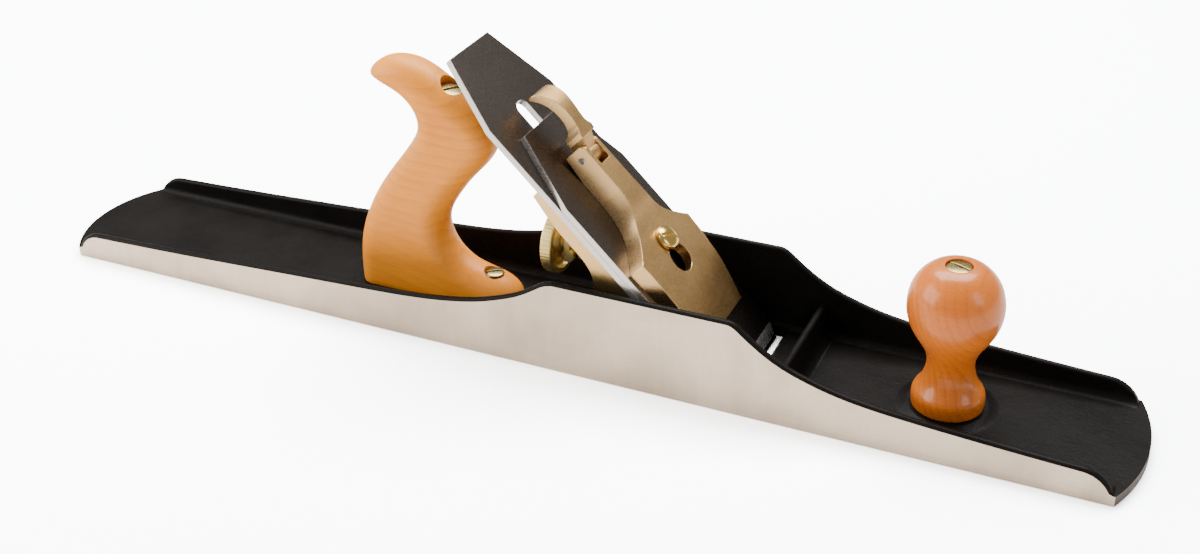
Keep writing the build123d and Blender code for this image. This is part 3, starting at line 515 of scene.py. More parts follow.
class Effects:
    """Shader groups that several finishes share, each built once."""

    def __init__(self) -> None:
        """Build every group."""
        self.wear = self._edge_wear()
        self.cast = self._cast_skin()
        self.scratch = self._grinding_lines()
        self.grain = self._wood_grain()

    @staticmethod
    def _group(name: str, inputs: dict[str, float], outputs: dict[str, str]) -> tuple[Recipe, object, object]:
        """Start a group with named sockets.

        Args:
            name: Group name.
            inputs: Value inputs with their defaults.
            outputs: Outputs with their socket kinds.

        Returns:
            The recipe, the group's input node and its output node.
        """
        tree = bpy.data.node_groups.new(name, "ShaderNodeTree")
        for key, default in inputs.items():
            socket = tree.interface.new_socket(key, in_out="INPUT", socket_type="NodeSocketFloat")
            socket.default_value = default
        for key, kind in outputs.items():
            tree.interface.new_socket(key, in_out="OUTPUT", socket_type=kind)
        recipe = Recipe(tree)
        return recipe, recipe.node("NodeGroupInput"), recipe.node("NodeGroupOutput")

    def _edge_wear(self) -> bpy.types.NodeTree:
        """Build the mask of rubbed edges and the softened edge normal.

        Returns:
            The group.
        """
        r, source, sink = self._group("edge_wear", {"Radius": 0.0006, "Sharpness": 1.0},
                                      {"Mask": "NodeSocketFloat", "Normal": "NodeSocketVector"})
        rounded = r.node("ShaderNodeBevel", samples=6)
        r.feed(rounded.inputs["Radius"], source.outputs["Radius"])
        geometry = r.node("ShaderNodeNewGeometry")
        dot = r.node("ShaderNodeVectorMath", operation="DOT_PRODUCT")
        r.feed(dot.inputs[0], rounded.outputs["Normal"])
        r.feed(dot.inputs[1], geometry.outputs["Normal"])
        edge = r.span(dot.outputs["Value"], 0.995, 0.86)
        rub = r.span(r.noise(r.place((1, 1, 1)), 260.0, 5.0), 0.36, 0.62)
        mask = r.math("MULTIPLY", r.math("MULTIPLY", edge, source.outputs["Sharpness"]), rub, clamp=True)
        r.feed(sink.inputs["Mask"], mask)
        r.feed(sink.inputs["Normal"], rounded.outputs["Normal"])
        return r.tree

    def _cast_skin(self) -> bpy.types.NodeTree:
        """Build the height and tone of a sand-cast or bead-blasted skin.

        Returns:
            The group.
        """
        r, source, sink = self._group("cast_skin", {"Scale": 900.0, "Pits": 0.4},
                                      {"Height": "NodeSocketFloat", "Tone": "NodeSocketFloat"})
        where = r.place((1, 1, 1))
        fine = r.noise(where, source.outputs["Scale"], 6.0, 0.62)
        swell = r.noise(where, r.math("MULTIPLY", source.outputs["Scale"], 0.16), 3.0, 0.5)
        cells = r.node("ShaderNodeTexVoronoi")
        r.feed(cells.inputs["Vector"], where)
        r.feed(cells.inputs["Scale"], r.math("MULTIPLY", source.outputs["Scale"], 0.42))
        dent = r.span(cells.outputs["Distance"], 0.0, 0.22, 1.0, 0.0)
        pits = r.math("MULTIPLY", dent, source.outputs["Pits"])
        height = r.math("SUBTRACT", r.math("ADD", fine, r.math("MULTIPLY", swell, 1.3)), pits)
        r.feed(sink.inputs["Height"], height)
        r.feed(sink.inputs["Tone"], r.span(r.noise(where, 38.0, 5.0, 0.6), 0.25, 0.75))
        return r.tree

    def _grinding_lines(self) -> bpy.types.NodeTree:
        """Build the lines and the faint clouds that grinding leaves.

        Returns:
            The group.
        """
        r, source, sink = self._group("grinding_lines", {"Density": 1.0},
                                      {"Lines": "NodeSocketFloat", "Cloud": "NodeSocketFloat"})
        lines = r.noise(r.place((30, 900, 2600)), source.outputs["Density"], 4.0, 0.7)
        crossing = r.noise(r.place((420, 900, 60), turn=(0, 45, 0)), source.outputs["Density"], 3.0, 0.6)
        cloud = r.noise(r.place((1, 1, 1)), 17.0, 4.0, 0.55, 0.8)
        both = r.math("ADD", r.math("MULTIPLY", lines, 0.6), r.math("MULTIPLY", crossing, 0.4))
        r.feed(sink.inputs["Lines"], both)
        r.feed(sink.inputs["Cloud"], cloud)
        return r.tree

    def _wood_grain(self) -> bpy.types.NodeTree:
        """Build growth rings, fine pores and slow colour drift in cherry.

        Returns:
            The group.
        """
        r, source, sink = self._group("cherry_grain", {"Rings": 130.0, "Tilt": 0.0, "Waver": 0.012},
                                      {"Rings": "NodeSocketFloat", "Pores": "NodeSocketFloat",
                                       "Drift": "NodeSocketFloat"})
        where = r.place((1, 1, 1))
        part = r.node("ShaderNodeSeparateXYZ")
        r.feed(part.inputs[0], where)
        waver = r.noise(r.place((7, 22, 16)), 1.0, 3.0, 0.5, 0.4)
        bend = r.math("MULTIPLY", r.math("SUBTRACT", waver, 0.5), source.outputs["Waver"])
        bow = r.math("MULTIPLY", r.math("MULTIPLY", part.outputs["Y"], part.outputs["Y"]), 26.0)
        leaning = r.math("MULTIPLY", part.outputs["X"], source.outputs["Tilt"])
        depth = r.math("ADD", r.math("ADD", part.outputs["Z"], leaning), r.math("ADD", bend, bow))
        turns = r.math("FRACT", r.math("MULTIPLY", depth, source.outputs["Rings"]))
        late = r.math("POWER", turns, 2.4)
        fall = r.span(turns, 0.93, 1.0, 1.0, 0.0)
        patchy = r.span(r.noise(r.place((11, 40, 19)), 1.0, 3.0, 0.6, 0.5), 0.35, 0.65, 0.25, 1.0)
        r.feed(sink.inputs["Rings"], r.math("MULTIPLY", r.math("MULTIPLY", late, fall), patchy))
        pores = r.noise(r.place((90, 1500, 1500)), 1.0, 5.0, 0.66)
        r.feed(sink.inputs["Pores"], r.span(pores, 0.42, 0.72))
        r.feed(sink.inputs["Drift"], r.noise(r.place((14, 30, 26)), 1.0, 4.0, 0.6, 0.7))
        return r.tree


@dataclass(frozen=True)
class Finish:
    """Base of every finish: a named material whose surface is a Principled BSDF."""

    name: str
    effects: Effects

    def begin(self) -> tuple[bpy.types.Material, Recipe, bpy.types.Node]:
        """Start the material.

        Returns:
            The new material, a recipe for its nodes, and its Principled BSDF.
        """
        made = bpy.data.materials.new(self.name)
        made.use_nodes = True
        return made, Recipe(made.node_tree), made.node_tree.nodes["Principled BSDF"]

    def group(self, recipe: Recipe, tree: bpy.types.NodeTree, **inputs: float) -> bpy.types.Node:
        """Place a shared effect in the material.

        Args:
            recipe: The material's recipe.
            tree: The effect's group.
            **inputs: Its values in this material.

        Returns:
            The group's node.
        """
        made = recipe.node("ShaderNodeGroup", node_tree=tree)
        for key, value in inputs.items():
            made.inputs[key.title()].default_value = value
        return made

    def material(self) -> bpy.types.Material:
        """Return the finished material; each finish gives its own."""
        raise NotImplementedError


@dataclass(frozen=True)
class Enamel(Finish):
    """Black satin enamel over the sand casting, a little paler where it is thin on edges."""

    dark: Colour = (0.0046, 0.0038, 0.0033)
    light: Colour = (0.0082, 0.0070, 0.0062)
    thin: Colour = (0.030, 0.026, 0.023)
    rough_low: float = 0.34
    rough_high: float = 0.46
    gloss: float = 0.07
    grit: float = 0.00016

    def material(self) -> bpy.types.Material:
        """Lay the enamel over its casting skin.

        Returns:
            The enamel.
        """
        made, r, surface = self.begin()
        skin = self.group(r, self.effects.cast, scale=620.0, pits=0.35)
        wear = self.group(r, self.effects.wear, radius=0.0007, sharpness=0.35)
        tone = r.blend(skin.outputs["Tone"], self.dark, self.light)
        r.feed(surface.inputs["Base Color"], r.blend(wear.outputs["Mask"], tone, self.thin))
        rough = r.span(skin.outputs["Tone"], 0.0, 1.0, self.rough_low, self.rough_high)
        r.feed(surface.inputs["Roughness"], rough)
        surface.inputs["Specular IOR Level"].default_value = self.gloss
        raised = r.bump(skin.outputs["Height"], self.grit, wear.outputs["Normal"])
        r.feed(surface.inputs["Normal"], raised)
        return made


@dataclass(frozen=True)
class GroundMetal(Finish):
    """Ground or lapped bare metal, with fine lines and a faint cloudiness."""

    light: Colour = (0.86, 0.725, 0.59)
    dark: Colour = (0.60, 0.495, 0.39)
    metallic: float = 0.6
    rough_low: float = 0.36
    rough_high: float = 0.5
    line_depth: float = 0.000006
    density: float = 1.0

    def material(self) -> bpy.types.Material:
        """Lay lines, clouds and brighter edges over bare metal.

        Returns:
            The ground metal.
        """
        made, r, surface = self.begin()
        lines = self.group(r, self.effects.scratch, density=self.density)
        wear = self.group(r, self.effects.wear, radius=0.0003, sharpness=0.7)
        share = r.span(lines.outputs["Cloud"], 0.3, 0.7)
        tone = r.blend(share, self.dark, self.light)
        fine = r.span(lines.outputs["Lines"], 0.38, 0.62, 0.94, 1.04)
        tone = r.blend(1.0, tone, fine, "MULTIPLY")
        bright = tuple(min(0.95, 1.15 * part) for part in self.light)
        r.feed(surface.inputs["Base Color"], r.blend(wear.outputs["Mask"], tone, bright))
        surface.inputs["Metallic"].default_value = self.metallic
        rough = r.span(lines.outputs["Lines"], 0.35, 0.65, self.rough_low, self.rough_high)
        r.feed(surface.inputs["Roughness"], rough)
        raised = r.bump(lines.outputs["Lines"], self.line_depth, wear.outputs["Normal"])
        r.feed(surface.inputs["Normal"], raised)
        return made


@dataclass(frozen=True)
class CastAlloy(Finish):
    """Bead-blasted bronze or turned brass, brighter where edges are rubbed."""

    light: Colour = (0.76, 0.480, 0.195)
    dark: Colour = (0.42, 0.250, 0.095)
    rough: float = 0.42
    grit: float = 0.00007
    scale: float = 800.0
    rub: float = 0.9

    def material(self) -> bpy.types.Material:
        """Lay a blasted skin, specks and brighter edges over the alloy.

        Returns:
            The alloy.
        """
        made, r, surface = self.begin()
        skin = self.group(r, self.effects.cast, scale=self.scale, pits=0.05)
        wear = self.group(r, self.effects.wear, radius=0.0005, sharpness=self.rub)
        speck = r.span(r.noise(r.place((1, 1, 1)), self.scale * 1.4, 3.0, 0.7), 0.35, 0.68)
        share = r.math("ADD", r.math("MULTIPLY", skin.outputs["Tone"], 0.55), r.math("MULTIPLY", speck, 0.45))
        tone = r.blend(share, self.dark, self.light)
        bright = tuple(min(0.97, 1.22 * part) for part in self.light)
        r.feed(surface.inputs["Base Color"], r.blend(wear.outputs["Mask"], tone, bright))
        surface.inputs["Metallic"].default_value = 1.0
        worn = r.math("MULTIPLY", wear.outputs["Mask"], 0.55 * self.rough)
        base = r.span(speck, 0.0, 1.0, self.rough * 0.9, self.rough * 1.12)
        r.feed(surface.inputs["Roughness"], r.math("SUBTRACT", base, worn))
        raised = r.bump(skin.outputs["Height"], self.grit, wear.outputs["Normal"])
        r.feed(surface.inputs["Normal"], raised)
        return made


@dataclass(frozen=True)
class Cherry(Finish):
    """Varnished cherry with growth rings and pores."""

    pale: Colour = (1.0, 0.350, 0.018)
    deep: Colour = (0.52, 0.120, 0.007)
    rings: float = 165.0
    tilt: float = 0.0
    rough: float = 0.42
    coat: float = 0.08
    coat_rough: float = 0.25
    waver: float = 0.034
    ring_share: float = 0.42
    pore_share: float = 0.3
    gloss: float = 0.3
    grain_depth: float = 0.000012

    def material(self) -> bpy.types.Material:
        """Lay rings, pores and slow drift over the wood, under its varnish.

        Returns:
            The wood.
        """
        made, r, surface = self.begin()
        grain = self.group(r, self.effects.grain, rings=self.rings, tilt=self.tilt, waver=self.waver)
        drift = r.span(grain.outputs["Drift"], 0.3, 0.7)
        mid = tuple(0.72 * p + 0.28 * d for p, d in zip(self.pale, self.deep))
        tone = r.blend(drift, mid, self.pale)
        tone = r.blend(r.math("MULTIPLY", grain.outputs["Rings"], self.ring_share), tone, self.deep)
        tone = r.blend(r.math("MULTIPLY", grain.outputs["Pores"], self.pore_share), tone, self.deep)
        r.feed(surface.inputs["Base Color"], tone)
        rough = r.span(grain.outputs["Pores"], 0.0, 1.0, self.rough, self.rough + 0.1)
        r.feed(surface.inputs["Roughness"], rough)
        surface.inputs["Coat Weight"].default_value = self.coat
        surface.inputs["Coat Roughness"].default_value = self.coat_rough
        surface.inputs["Specular IOR Level"].default_value = self.gloss
        height = r.math("ADD", r.math("MULTIPLY", grain.outputs["Pores"], -0.7), grain.outputs["Rings"])
        r.feed(surface.inputs["Normal"], r.bump(height, self.grain_depth))
        return made


@dataclass(frozen=True)
class StudioFloor(Finish):
    """Plain near-white paper that keeps only soft shadows.

    The camera sees it brighter than the plane does, so that it stays white under a soft light.
    """

    dark: Colour = (0.92, 0.86, 0.79)
    light: Colour = (0.95, 0.89, 0.82)
    seen_white: Colour = (3.7, 3.85, 4.0)

    def material(self) -> bpy.types.Material:
        """Lay a faint weave over the paper.

        Returns:
            The paper.
        """
        made, r, surface = self.begin()
        weave = r.noise(r.place((1, 1, 1)), 9.0, 2.0)
        tone = r.blend(weave, self.dark, self.light)
        seen = r.node("ShaderNodeLightPath").outputs["Is Camera Ray"]
        r.feed(surface.inputs["Base Color"], r.blend(seen, tone, self.seen_white))
        surface.inputs["Roughness"].default_value = 0.9
        surface.inputs["Specular IOR Level"].default_value = 0.0
        return made


class Finishes:
    """Every finish of the plane, made once."""

    def __init__(self, effects: Effects) -> None:
        """Make the materials.

        Args:
            effects: The shader groups that they share.
        """
        self.enamel = Enamel("black_enamel", effects).material()
        self.ground = GroundMetal("ground_iron", effects).material()
        # Darker bare iron for the sole's end faces.
        self.darker_ends = GroundMetal(
            "darker_end_iron", effects, light=(0.13, 0.11, 0.10), dark=(0.09, 0.077, 0.069),
            metallic=0.5, rough_low=0.5, rough_high=0.62, density=2.0).material()
        # Lapped faces of the blade and cap iron, coloured nearly black: a painted dark reflection of the dim
        # surroundings that these mirror-like faces show.
        self.steel = GroundMetal(
            "lapped_steel_painted_dark", effects, light=(0.150, 0.126, 0.108), dark=(0.118, 0.098, 0.083),
            metallic=1.0, rough_low=0.24, rough_high=0.34, density=2.0).material()
        self.steel_edge = GroundMetal(
            "ground_steel_edge", effects, light=(0.78, 0.75, 0.73), dark=(0.66, 0.63, 0.61),
            metallic=0.9, rough_low=0.22, rough_high=0.36).material()
        self.bronze = CastAlloy("blasted_bronze", effects).material()
        # Brushed bronze for the lever cap's upright flanks; its lighter colour is a painted highlight,
        # standing in for the bright light that the flanks reflect.
        self.bronze_flank_painted_highlight = CastAlloy(
            "brushed_bronze_painted_highlight", effects, light=(0.84, 0.575, 0.285), dark=(0.60, 0.385, 0.175),
            rough=0.3, grit=0.000012).material()
        self.frog = CastAlloy(
            "machined_frog_bronze", effects, light=(0.86, 0.60, 0.27), dark=(0.72, 0.47, 0.19),
            rough=0.33, grit=0.00001).material()
        self.brass = CastAlloy(
            "turned_brass", effects, light=(0.80, 0.56, 0.18), dark=(0.62, 0.41, 0.11),
            rough=0.2, grit=0.000006, rub=0.5).material()
        self.wheel_brass = CastAlloy(
            "knurled_brass", effects, light=(0.86, 0.70, 0.30), dark=(0.72, 0.56, 0.21),
            rough=0.4, grit=0.00001, rub=0.6).material()
        self.aged_brass = CastAlloy(
            "handled_brass", effects, light=(0.46, 0.37, 0.16), dark=(0.32, 0.245, 0.10),
            rough=0.27, grit=0.00001, rub=0.7).material()
        self.spring = CastAlloy(
            "spring_strip", effects, light=(0.50, 0.25, 0.14), dark=(0.36, 0.16, 0.08),
            rough=0.3, grit=0.00001).material()
        self.tote = Cherry("satin_cherry", effects, tilt=0.10).material()
        self.knob = Cherry(
            "gloss_cherry", effects, pale=(0.72, 0.180, 0.012), deep=(0.26, 0.045, 0.003), rings=120.0,
            tilt=2.2, rough=0.3, coat=0.3, coat_rough=0.04, waver=0.02).material()
        self.paper = StudioFloor("studio_paper", effects).material()


# ---------------------------------------------------------------- sub-assemblies
@dataclass
class Casting:
    """The iron body: sole, walls, rib and seats, enamelled inside and ground outside."""

    finishes: Finishes
    length: float = 560.0
    half_w: float = 36.25
    wall: float = 3.3
    floor: float = 5.0
    heel_sag: float = 12.9
    toe_sag: float = 8.4
    end_r: float = 15.0
    cheek: float = 47.6
    top_round: float = 1.5
    foot_round: float = 4.2
    knob_x: float = 193.7
    rib_x: float = 125.3
    rib_half_w: float = 33.2
    ramp_low_x: float = 91.8
    ramp_top_x: float = 38.5
    ramp_z: float = 8.0
    ramp_slope: float = 12.0
    ramp_half_w: float = 28.0
    screw_y: float = 16.0
    seat_top: float = 6.0
    knob_seat_top: float = 6.6
    mouth_half_w: float = 31.5

    def plan(self) -> list[Point]:
        """Draw the bowed ends of the sole, carried a little past its sides.

        Returns:
            The plan's outline.
        """
        ends = []
        for sag, sign in ((self.toe_sag, 1), (self.heel_sag, -1)):
            radius = (self.half_w**2 + sag**2) / (2 * sag)
            half = math.degrees(math.asin((self.half_w + 3) / radius))
            centre = sign * (self.length / 2 - radius)
            bow = arc((0, 0), radius, -half, half, 34)
            ends.append([(centre + sign * x, sign * y) for x, y in bow])
        return ends[0] + ends[1]

    def wall_side(self) -> list[Point]:
        """Draw the side of sole and walls, from the toe over the cheeks to the heel.

        Returns:
            The side outline.
        """
        toe = self.length / 2 - self.toe_sag
        heel = self.heel_sag - self.length / 2
        ledge = self.floor - 0.02
        start = math.degrees(math.asin(ledge / self.end_r))
        up_toe = arc((toe - self.end_r, 0), self.end_r, start, 90, 12)
        sweep = flowing([(toe - self.end_r, self.end_r), (231, 16.3), (206, 17.8), (184, 19.4), (165, 21.4),
                         (150, 24.2), (139, 27.4), (129, 31.3), (121, 35.8), (113.5, 41.2), (108.5, 45.3)], 5)
        shoulder = flowing([(108.5, 45.3), (106.2, 46.8), (103.5, self.cheek)], 4)
        cheek = [(60, self.cheek), (18, self.cheek)]
        rear = flowing([(18, self.cheek), (14.2, 46.6), (8, 43), (0, 38.1), (-9, 34.2), (-20, 30.5),
                        (-34, 27.3), (-58, 24.2), (-89, 22.3), (-140, 19.8), (-200, 16.9),
                        (heel + self.end_r, self.end_r)], 5)
        down = arc((heel + self.end_r, 0), self.end_r, 90, 180 - start, 12)
        ends = [(-290, ledge), (-290, 0), (290, 0), (290, ledge)]
        return up_toe + sweep[1:] + shoulder[1:] + cheek + rear[1:] + down[1:] + ends

    def round_tops(self, block: bpy.types.Object, side: float) -> None:
        """Round the upper edges that run along both sides.

        Args:
            block: The casting so far.
            side: Distance of those edges from the middle, in mm.
        """
        kept = block.data.attributes.get("bevel_weight_edge")
        marks = kept or block.data.attributes.new("bevel_weight_edge", "FLOAT", "EDGE")
        outer = side > self.half_w - 1
        clear = self.floor - 0.1 if outer else self.floor + self.foot_round + 0.4
        for edge in block.data.edges:
            a, b = (block.data.vertices[i].co for i in edge.vertices)
            on_side = all(abs(abs(end.y) - side) < 0.004 and end.z > clear for end in (a, b))
            along = abs(a.y - b.y) < 0.01 and max(a.z, b.z) > self.floor + 0.2
            marks.data[edge.index].value = 1.0 if on_side and along else 0.0
        Bench.apply(block, "BEVEL", width=self.top_round, segments=5, limit_method="WEIGHT",
                    use_clamp_overlap=False)

    def trough(self) -> bpy.types.Object:
        """Make the cutter that hollows the casting, with soft lower corners.

        Returns:
            The cutter, in mm.
        """
        inner = self.half_w - self.wall
        radius = self.foot_round
        right = arc((inner - radius, self.floor + radius), radius, -90, 0, 8)
        half = [*right, (inner, 60)]
        shape = half + [(-a, b) for a, b in reversed(half)]
        lengthways = Matrix(((0, 0, 1, 0), (1, 0, 0, 0), (0, 1, 0, 0), (0, 0, 0, 1)))
        return Bench.slab("trough", shape, -300, 300, lengthways)

    def rib(self) -> bpy.types.Object:
        """Make the cross rib ahead of the mouth, hollow-footed and rounded on top.

        Returns:
            The rib, in mm.
        """
        x = self.rib_x
        foot = self.floor - 0.5
        rear = flowing([(x - 6.5, foot), (x - 3.6, 7.2), (x - 2.6, 12), (x - 1.8, 19.5)], 5)
        crown = arc((x, 20.2), 1.8, 180, 0, 10)
        front = flowing([(x + 1.8, 19.5), (x + 2.7, 12), (x + 4.0, 7.4), (x + 7.5, foot)], 5)
        shape = rear + crown[1:-1] + front
        return Bench.slab("rib", shape, -self.rib_half_w, self.rib_half_w, Frame.FRONT.matrix())

    def ramp(self) -> bpy.types.Object:
        """Make the sloping seat that the frog slides on, with its groove, screw holes and pin slots.

        Returns:
            The ramp, in mm.
        """
        rise = math.tan(math.radians(self.ramp_slope))

        def top(x: float) -> float:
            """Return the height of the ramp at a place along the plane."""
            return self.ramp_z + (self.ramp_low_x - x) * rise

        back, low = self.ramp_top_x, self.ramp_low_x
        shape = [(back, 4), (back, top(back)), (low, self.ramp_z), (low + 8, 4)]
        seat = Bench.slab("ramp", shape, -self.ramp_half_w, self.ramp_half_w, Frame.FRONT.matrix())
        groove = [(30, top(30) - 2.5), (30, 40), (102, 20), (102, top(102) - 2.5)]
        Bench.join_with(seat, [Bench.slab("groove", groove, -6, 6, Frame.FRONT.matrix())])
        lean = Matrix.Rotation(math.radians(90 + self.ramp_slope), 4, "Y")
        for y in (-self.screw_y, 0, self.screw_y):
            start = Matrix.Translation((32, y, top(32) - 7))
            drill = Bench.turned("drill", [(0, 0), (3.1, 0), (3.1, 26), (0, 26)], 24, start @ lean)
            Bench.join_with(seat, [drill])
        tilt = Matrix.Rotation(math.radians(self.ramp_slope), 4, "Y")
        for y in (-self.screw_y, self.screw_y):
            slope = Matrix.Translation((60, y, top(60))) @ tilt
            oval = arc((2.1, 0), 3.4, -90, 90, 10) + arc((-2.1, 0), 3.4, 90, 270, 10)
            Bench.join_with(seat, [Bench.slab("pin_slot", oval, -9, 6, slope)])
        return seat

    def seats(self) -> list[bpy.types.Object]:
        """Make the raised seats under the tote and the knob, the knob's softened into the floor.

        Returns:
            The two seats, in mm.
        """
        middle, half, radius = -60.0, 38.0, 15.0
        oval = arc((middle + half, 0), radius, -90, 90, 16) + arc((middle - half, 0), radius, 90, 270, 16)
        tote_seat = Bench.slab("tote_seat", oval, 3, self.seat_top, Frame.PLAN.matrix())
        rise = flowing([(26, 4.85), (21.5, 5.25), (19.0, 6.1), (17.6, self.knob_seat_top)], 5)
        profile = [(0, 3), (26, 3), *rise, (0, self.knob_seat_top)]
        knob_seat = Bench.turned("knob_seat", profile, 72, Matrix.Translation((self.knob_x, 0, 0)))
        return [tote_seat, knob_seat]

    def build(self) -> bpy.types.Object:
        """Make the whole casting, ground outside and enamelled inside.

        Returns:
            The casting, riding on the plane.
        """
        body = Bench.slab("casting", self.wall_side(), -self.half_w, self.half_w, Frame.FRONT.matrix())
        self.round_tops(body, self.half_w)
        Bench.join_with(body, [Bench.slab("bows", self.plan(), -5, 80, Frame.PLAN.matrix())], "INTERSECT")
        Bench.join_with(body, [self.trough()])
        self.round_tops(body, self.half_w - self.wall)
        Bench.join_with(body, [self.rib(), *self.seats(), self.ramp()], "UNION")
        mouth = [(99.7, -1), (106.2, -1), (106.6, 0), (110.6, 6), (93.8, 30), (68.7, 30)]
        opening = Bench.slab("mouth", mouth, -self.mouth_half_w, self.mouth_half_w, Frame.FRONT.matrix())
        Bench.join_with(body, [opening])
        for coat in (self.finishes.enamel, self.finishes.ground, self.finishes.darker_ends):
            body.data.materials.append(coat)
        end_x = self.length / 2 - self.heel_sag - 5.1
        for face in body.data.polygons:
            flank = abs(face.normal.y) > 0.999 and abs(face.center.y) > self.half_w - 0.02
            sole = face.normal.z < -0.99 and face.center.z < 0.05
            upright = abs(face.normal.z) < 0.05 and face.center.z < self.floor - 0.1
            end = upright and abs(face.center.x) > end_x
            # End faces of the sole take the darker bare iron.
            face.material_index = 1 if flank or sole else 2 if end else 0
        return Bench.finish(body, "plane", Slot.CASTING, ["plane_body"], self.finishes.enamel, 40)


@dataclass
class SlottedHead:
    """A round screw or nut head with a domed top and one slot."""

    name: str
    radius: float
    low: float
    high: float
    dome: float
    slot_w: float
    spin: float
    slot_depth: float = 1.15
    rim: float = 0.1
    dome_start: float = 0.22
    steps: int = 56

    def build(self, frame: Matrix) -> bpy.types.Object:
        """Turn the head and saw its slot.

        Args:
            frame: The screw's own frame, its upright axis along the screw.

        Returns:
            The head, in mm.
        """
        angles = np.linspace(self.dome_start, math.pi / 2, 9)[:-1]
        top = [(self.radius * math.cos(a), self.high + self.dome * math.sin(a)) for a in angles]
        crest = self.high + self.dome
        side = [(self.radius, self.low), (self.radius, self.high - self.rim)]
        profile = [(0, self.low), *side, *top, (0, crest)]
        head = Bench.turned(self.name, profile, self.steps, frame)
        half = self.slot_w / 2
        groove = [(-9, -half), (9, -half), (9, half), (-9, half)]
        turn = frame @ Matrix.Rotation(math.radians(self.spin), 4, "Z")
        Bench.join_with(head, [Bench.slab("groove", groove, crest - self.slot_depth, crest + 3, turn)])
        Bench.ease(head, 0.12, 2, 50)
        return head


@dataclass
class Tote:
    """The rear handle: a shaped cherry grip with its brass nut and toe screw."""

    finishes: Finishes
    half_t: float = 11.4
    round_r: float = 10.4
    seat: float = 6.02
    rod_top: Point = (-48.7, 117.2)
    rod_low_x: float = -79.0
    toe_screw_x: float = -32.2
    nut_bore_r: float = 6.05
    toe_bore_r: float = 5.1
    block_voxel: float = 1.3
    voxel: float = 0.9

    def outline(self) -> list[Point]:
        """Draw the handle's side, from the toe of its foot over the horn to its heel.

        Returns:
            The side outline.
        """
        foot = [(-18.6, self.seat), (-18.3, 12.8), (-24.0, 19.6), (-33, 22.9), (-45.0, 26.6), (-53.5, 34.4)]
        front = [(-56.5, 45.0), (-50.5, 59.6), (-38.1, 75.5), (-26.6, 91.0), (-25.9, 98.5), (-30.5, 106.8)]
        crest = [(-38.5, 113.9), (-47.0, 120.1), (-56.0, 125.9), (-66.5, 130.6), (-78, 131.1)]
        horn = [(-86.8, 127.6), (-90.6, 122.6), (-86.4, 118.4), (-75.8, 113.4), (-68.6, 106.8), (-66.6, 98.4)]
        back = [(-69.9, 90.6), (-80.9, 75.9), (-92.2, 60.4), (-100.2, 45.4), (-105.0, 31.0)]
        return flowing([*foot, *front, *crest, *horn, *back, (-106.8, self.seat)], 8)

    def rod_frame(self) -> Matrix:
        """Find where the rod stands.

        Returns:
            The rod's own frame, its origin at the nut and its upright axis along the rod.
        """
        run = self.rod_top[0] - self.rod_low_x
        rise = self.rod_top[1] - self.seat
        lean = math.atan2(run, rise)
        return Matrix.Translation((self.rod_top[0], 0, self.rod_top[1])) @ Matrix.Rotation(lean, 4, "Y")

    def shaped(self) -> bpy.types.Object:
        """Shape the grip: a slab whose sides are rounded fully over towards the outline.

        Returns:
            The grip with its bores, in mm.
        """
        outline = self.outline()
        grip = Bench.slab("tote_grip", outline, -self.half_t, self.half_t, Frame.FRONT.matrix())
        Bench.apply(grip, "REMESH", mode="VOXEL", voxel_size=self.block_voxel)
        line = np.array(outline)
        starts, runs = line[:-1], np.diff(line, axis=0)
        lengths = (runs**2).sum(1)
        for corner in grip.data.vertices:
            place = np.array((corner.co.x, corner.co.z))
            share = np.clip(((place - starts) * runs).sum(1) / lengths, 0, 1)
            near = np.sqrt((((starts + runs * share[:, None]) - place) ** 2).sum(1).min())
            inward = max(0.0, self.round_r - near)
            limit = self.half_t - self.round_r + math.sqrt(max(0.0, self.round_r**2 - inward**2))
            corner.co.y = math.copysign(min(abs(corner.co.y), limit), corner.co.y)
        Bench.apply(grip, "REMESH", mode="VOXEL", voxel_size=self.voxel)
        Bench.apply(grip, "SMOOTH", factor=0.5, iterations=8)
        below = Bench.slab("below", [(-130, -20), (10, -20), (10, self.seat), (-130, self.seat)], -20, 20,
                           Frame.FRONT.matrix())
        nut_hole = [(0, -2.2), (self.nut_bore_r, -2.2), (self.nut_bore_r, 30), (0, 30)]
        bore = Bench.turned("bore", nut_hole, 48, self.rod_frame())
        toe_hole = [(0, 20.6), (self.toe_bore_r, 20.6), (self.toe_bore_r, 40), (0, 40)]
        sink = Bench.turned("sink", toe_hole, 48, Matrix.Translation((self.toe_screw_x, 0, 0)))
        Bench.join_with(grip, [below, bore, sink])
        return grip

    def build(self) -> list[bpy.types.Object]:
        """Make the grip, its nut and its toe screw.

        Returns:
            The three pieces, riding on the plane.
        """
        grip = Bench.finish(self.shaped(), "plane", Slot.TOTE, ["tote"], self.finishes.tote, 60)
        nut_head = SlottedHead("grip_nut", radius=5.75, low=-3.4, high=0.9, dome=0.7, slot_w=1.5, spin=62)
        nut = nut_head.build(self.rod_frame())
        screw_head = SlottedHead("toe_screw", radius=4.75, low=20.85, high=22.2, dome=0.9, slot_w=1.2,
                                 spin=35)
        screw = screw_head.build(Matrix.Translation((self.toe_screw_x, 0, 0)))
        return [grip,
                Bench.finish(nut, "plane", Slot.BRASS, ["tote_nut"], self.finishes.aged_brass),
                Bench.finish(screw, "plane", Slot.BRASS, ["tote_toe_screw"], self.finishes.aged_brass)]


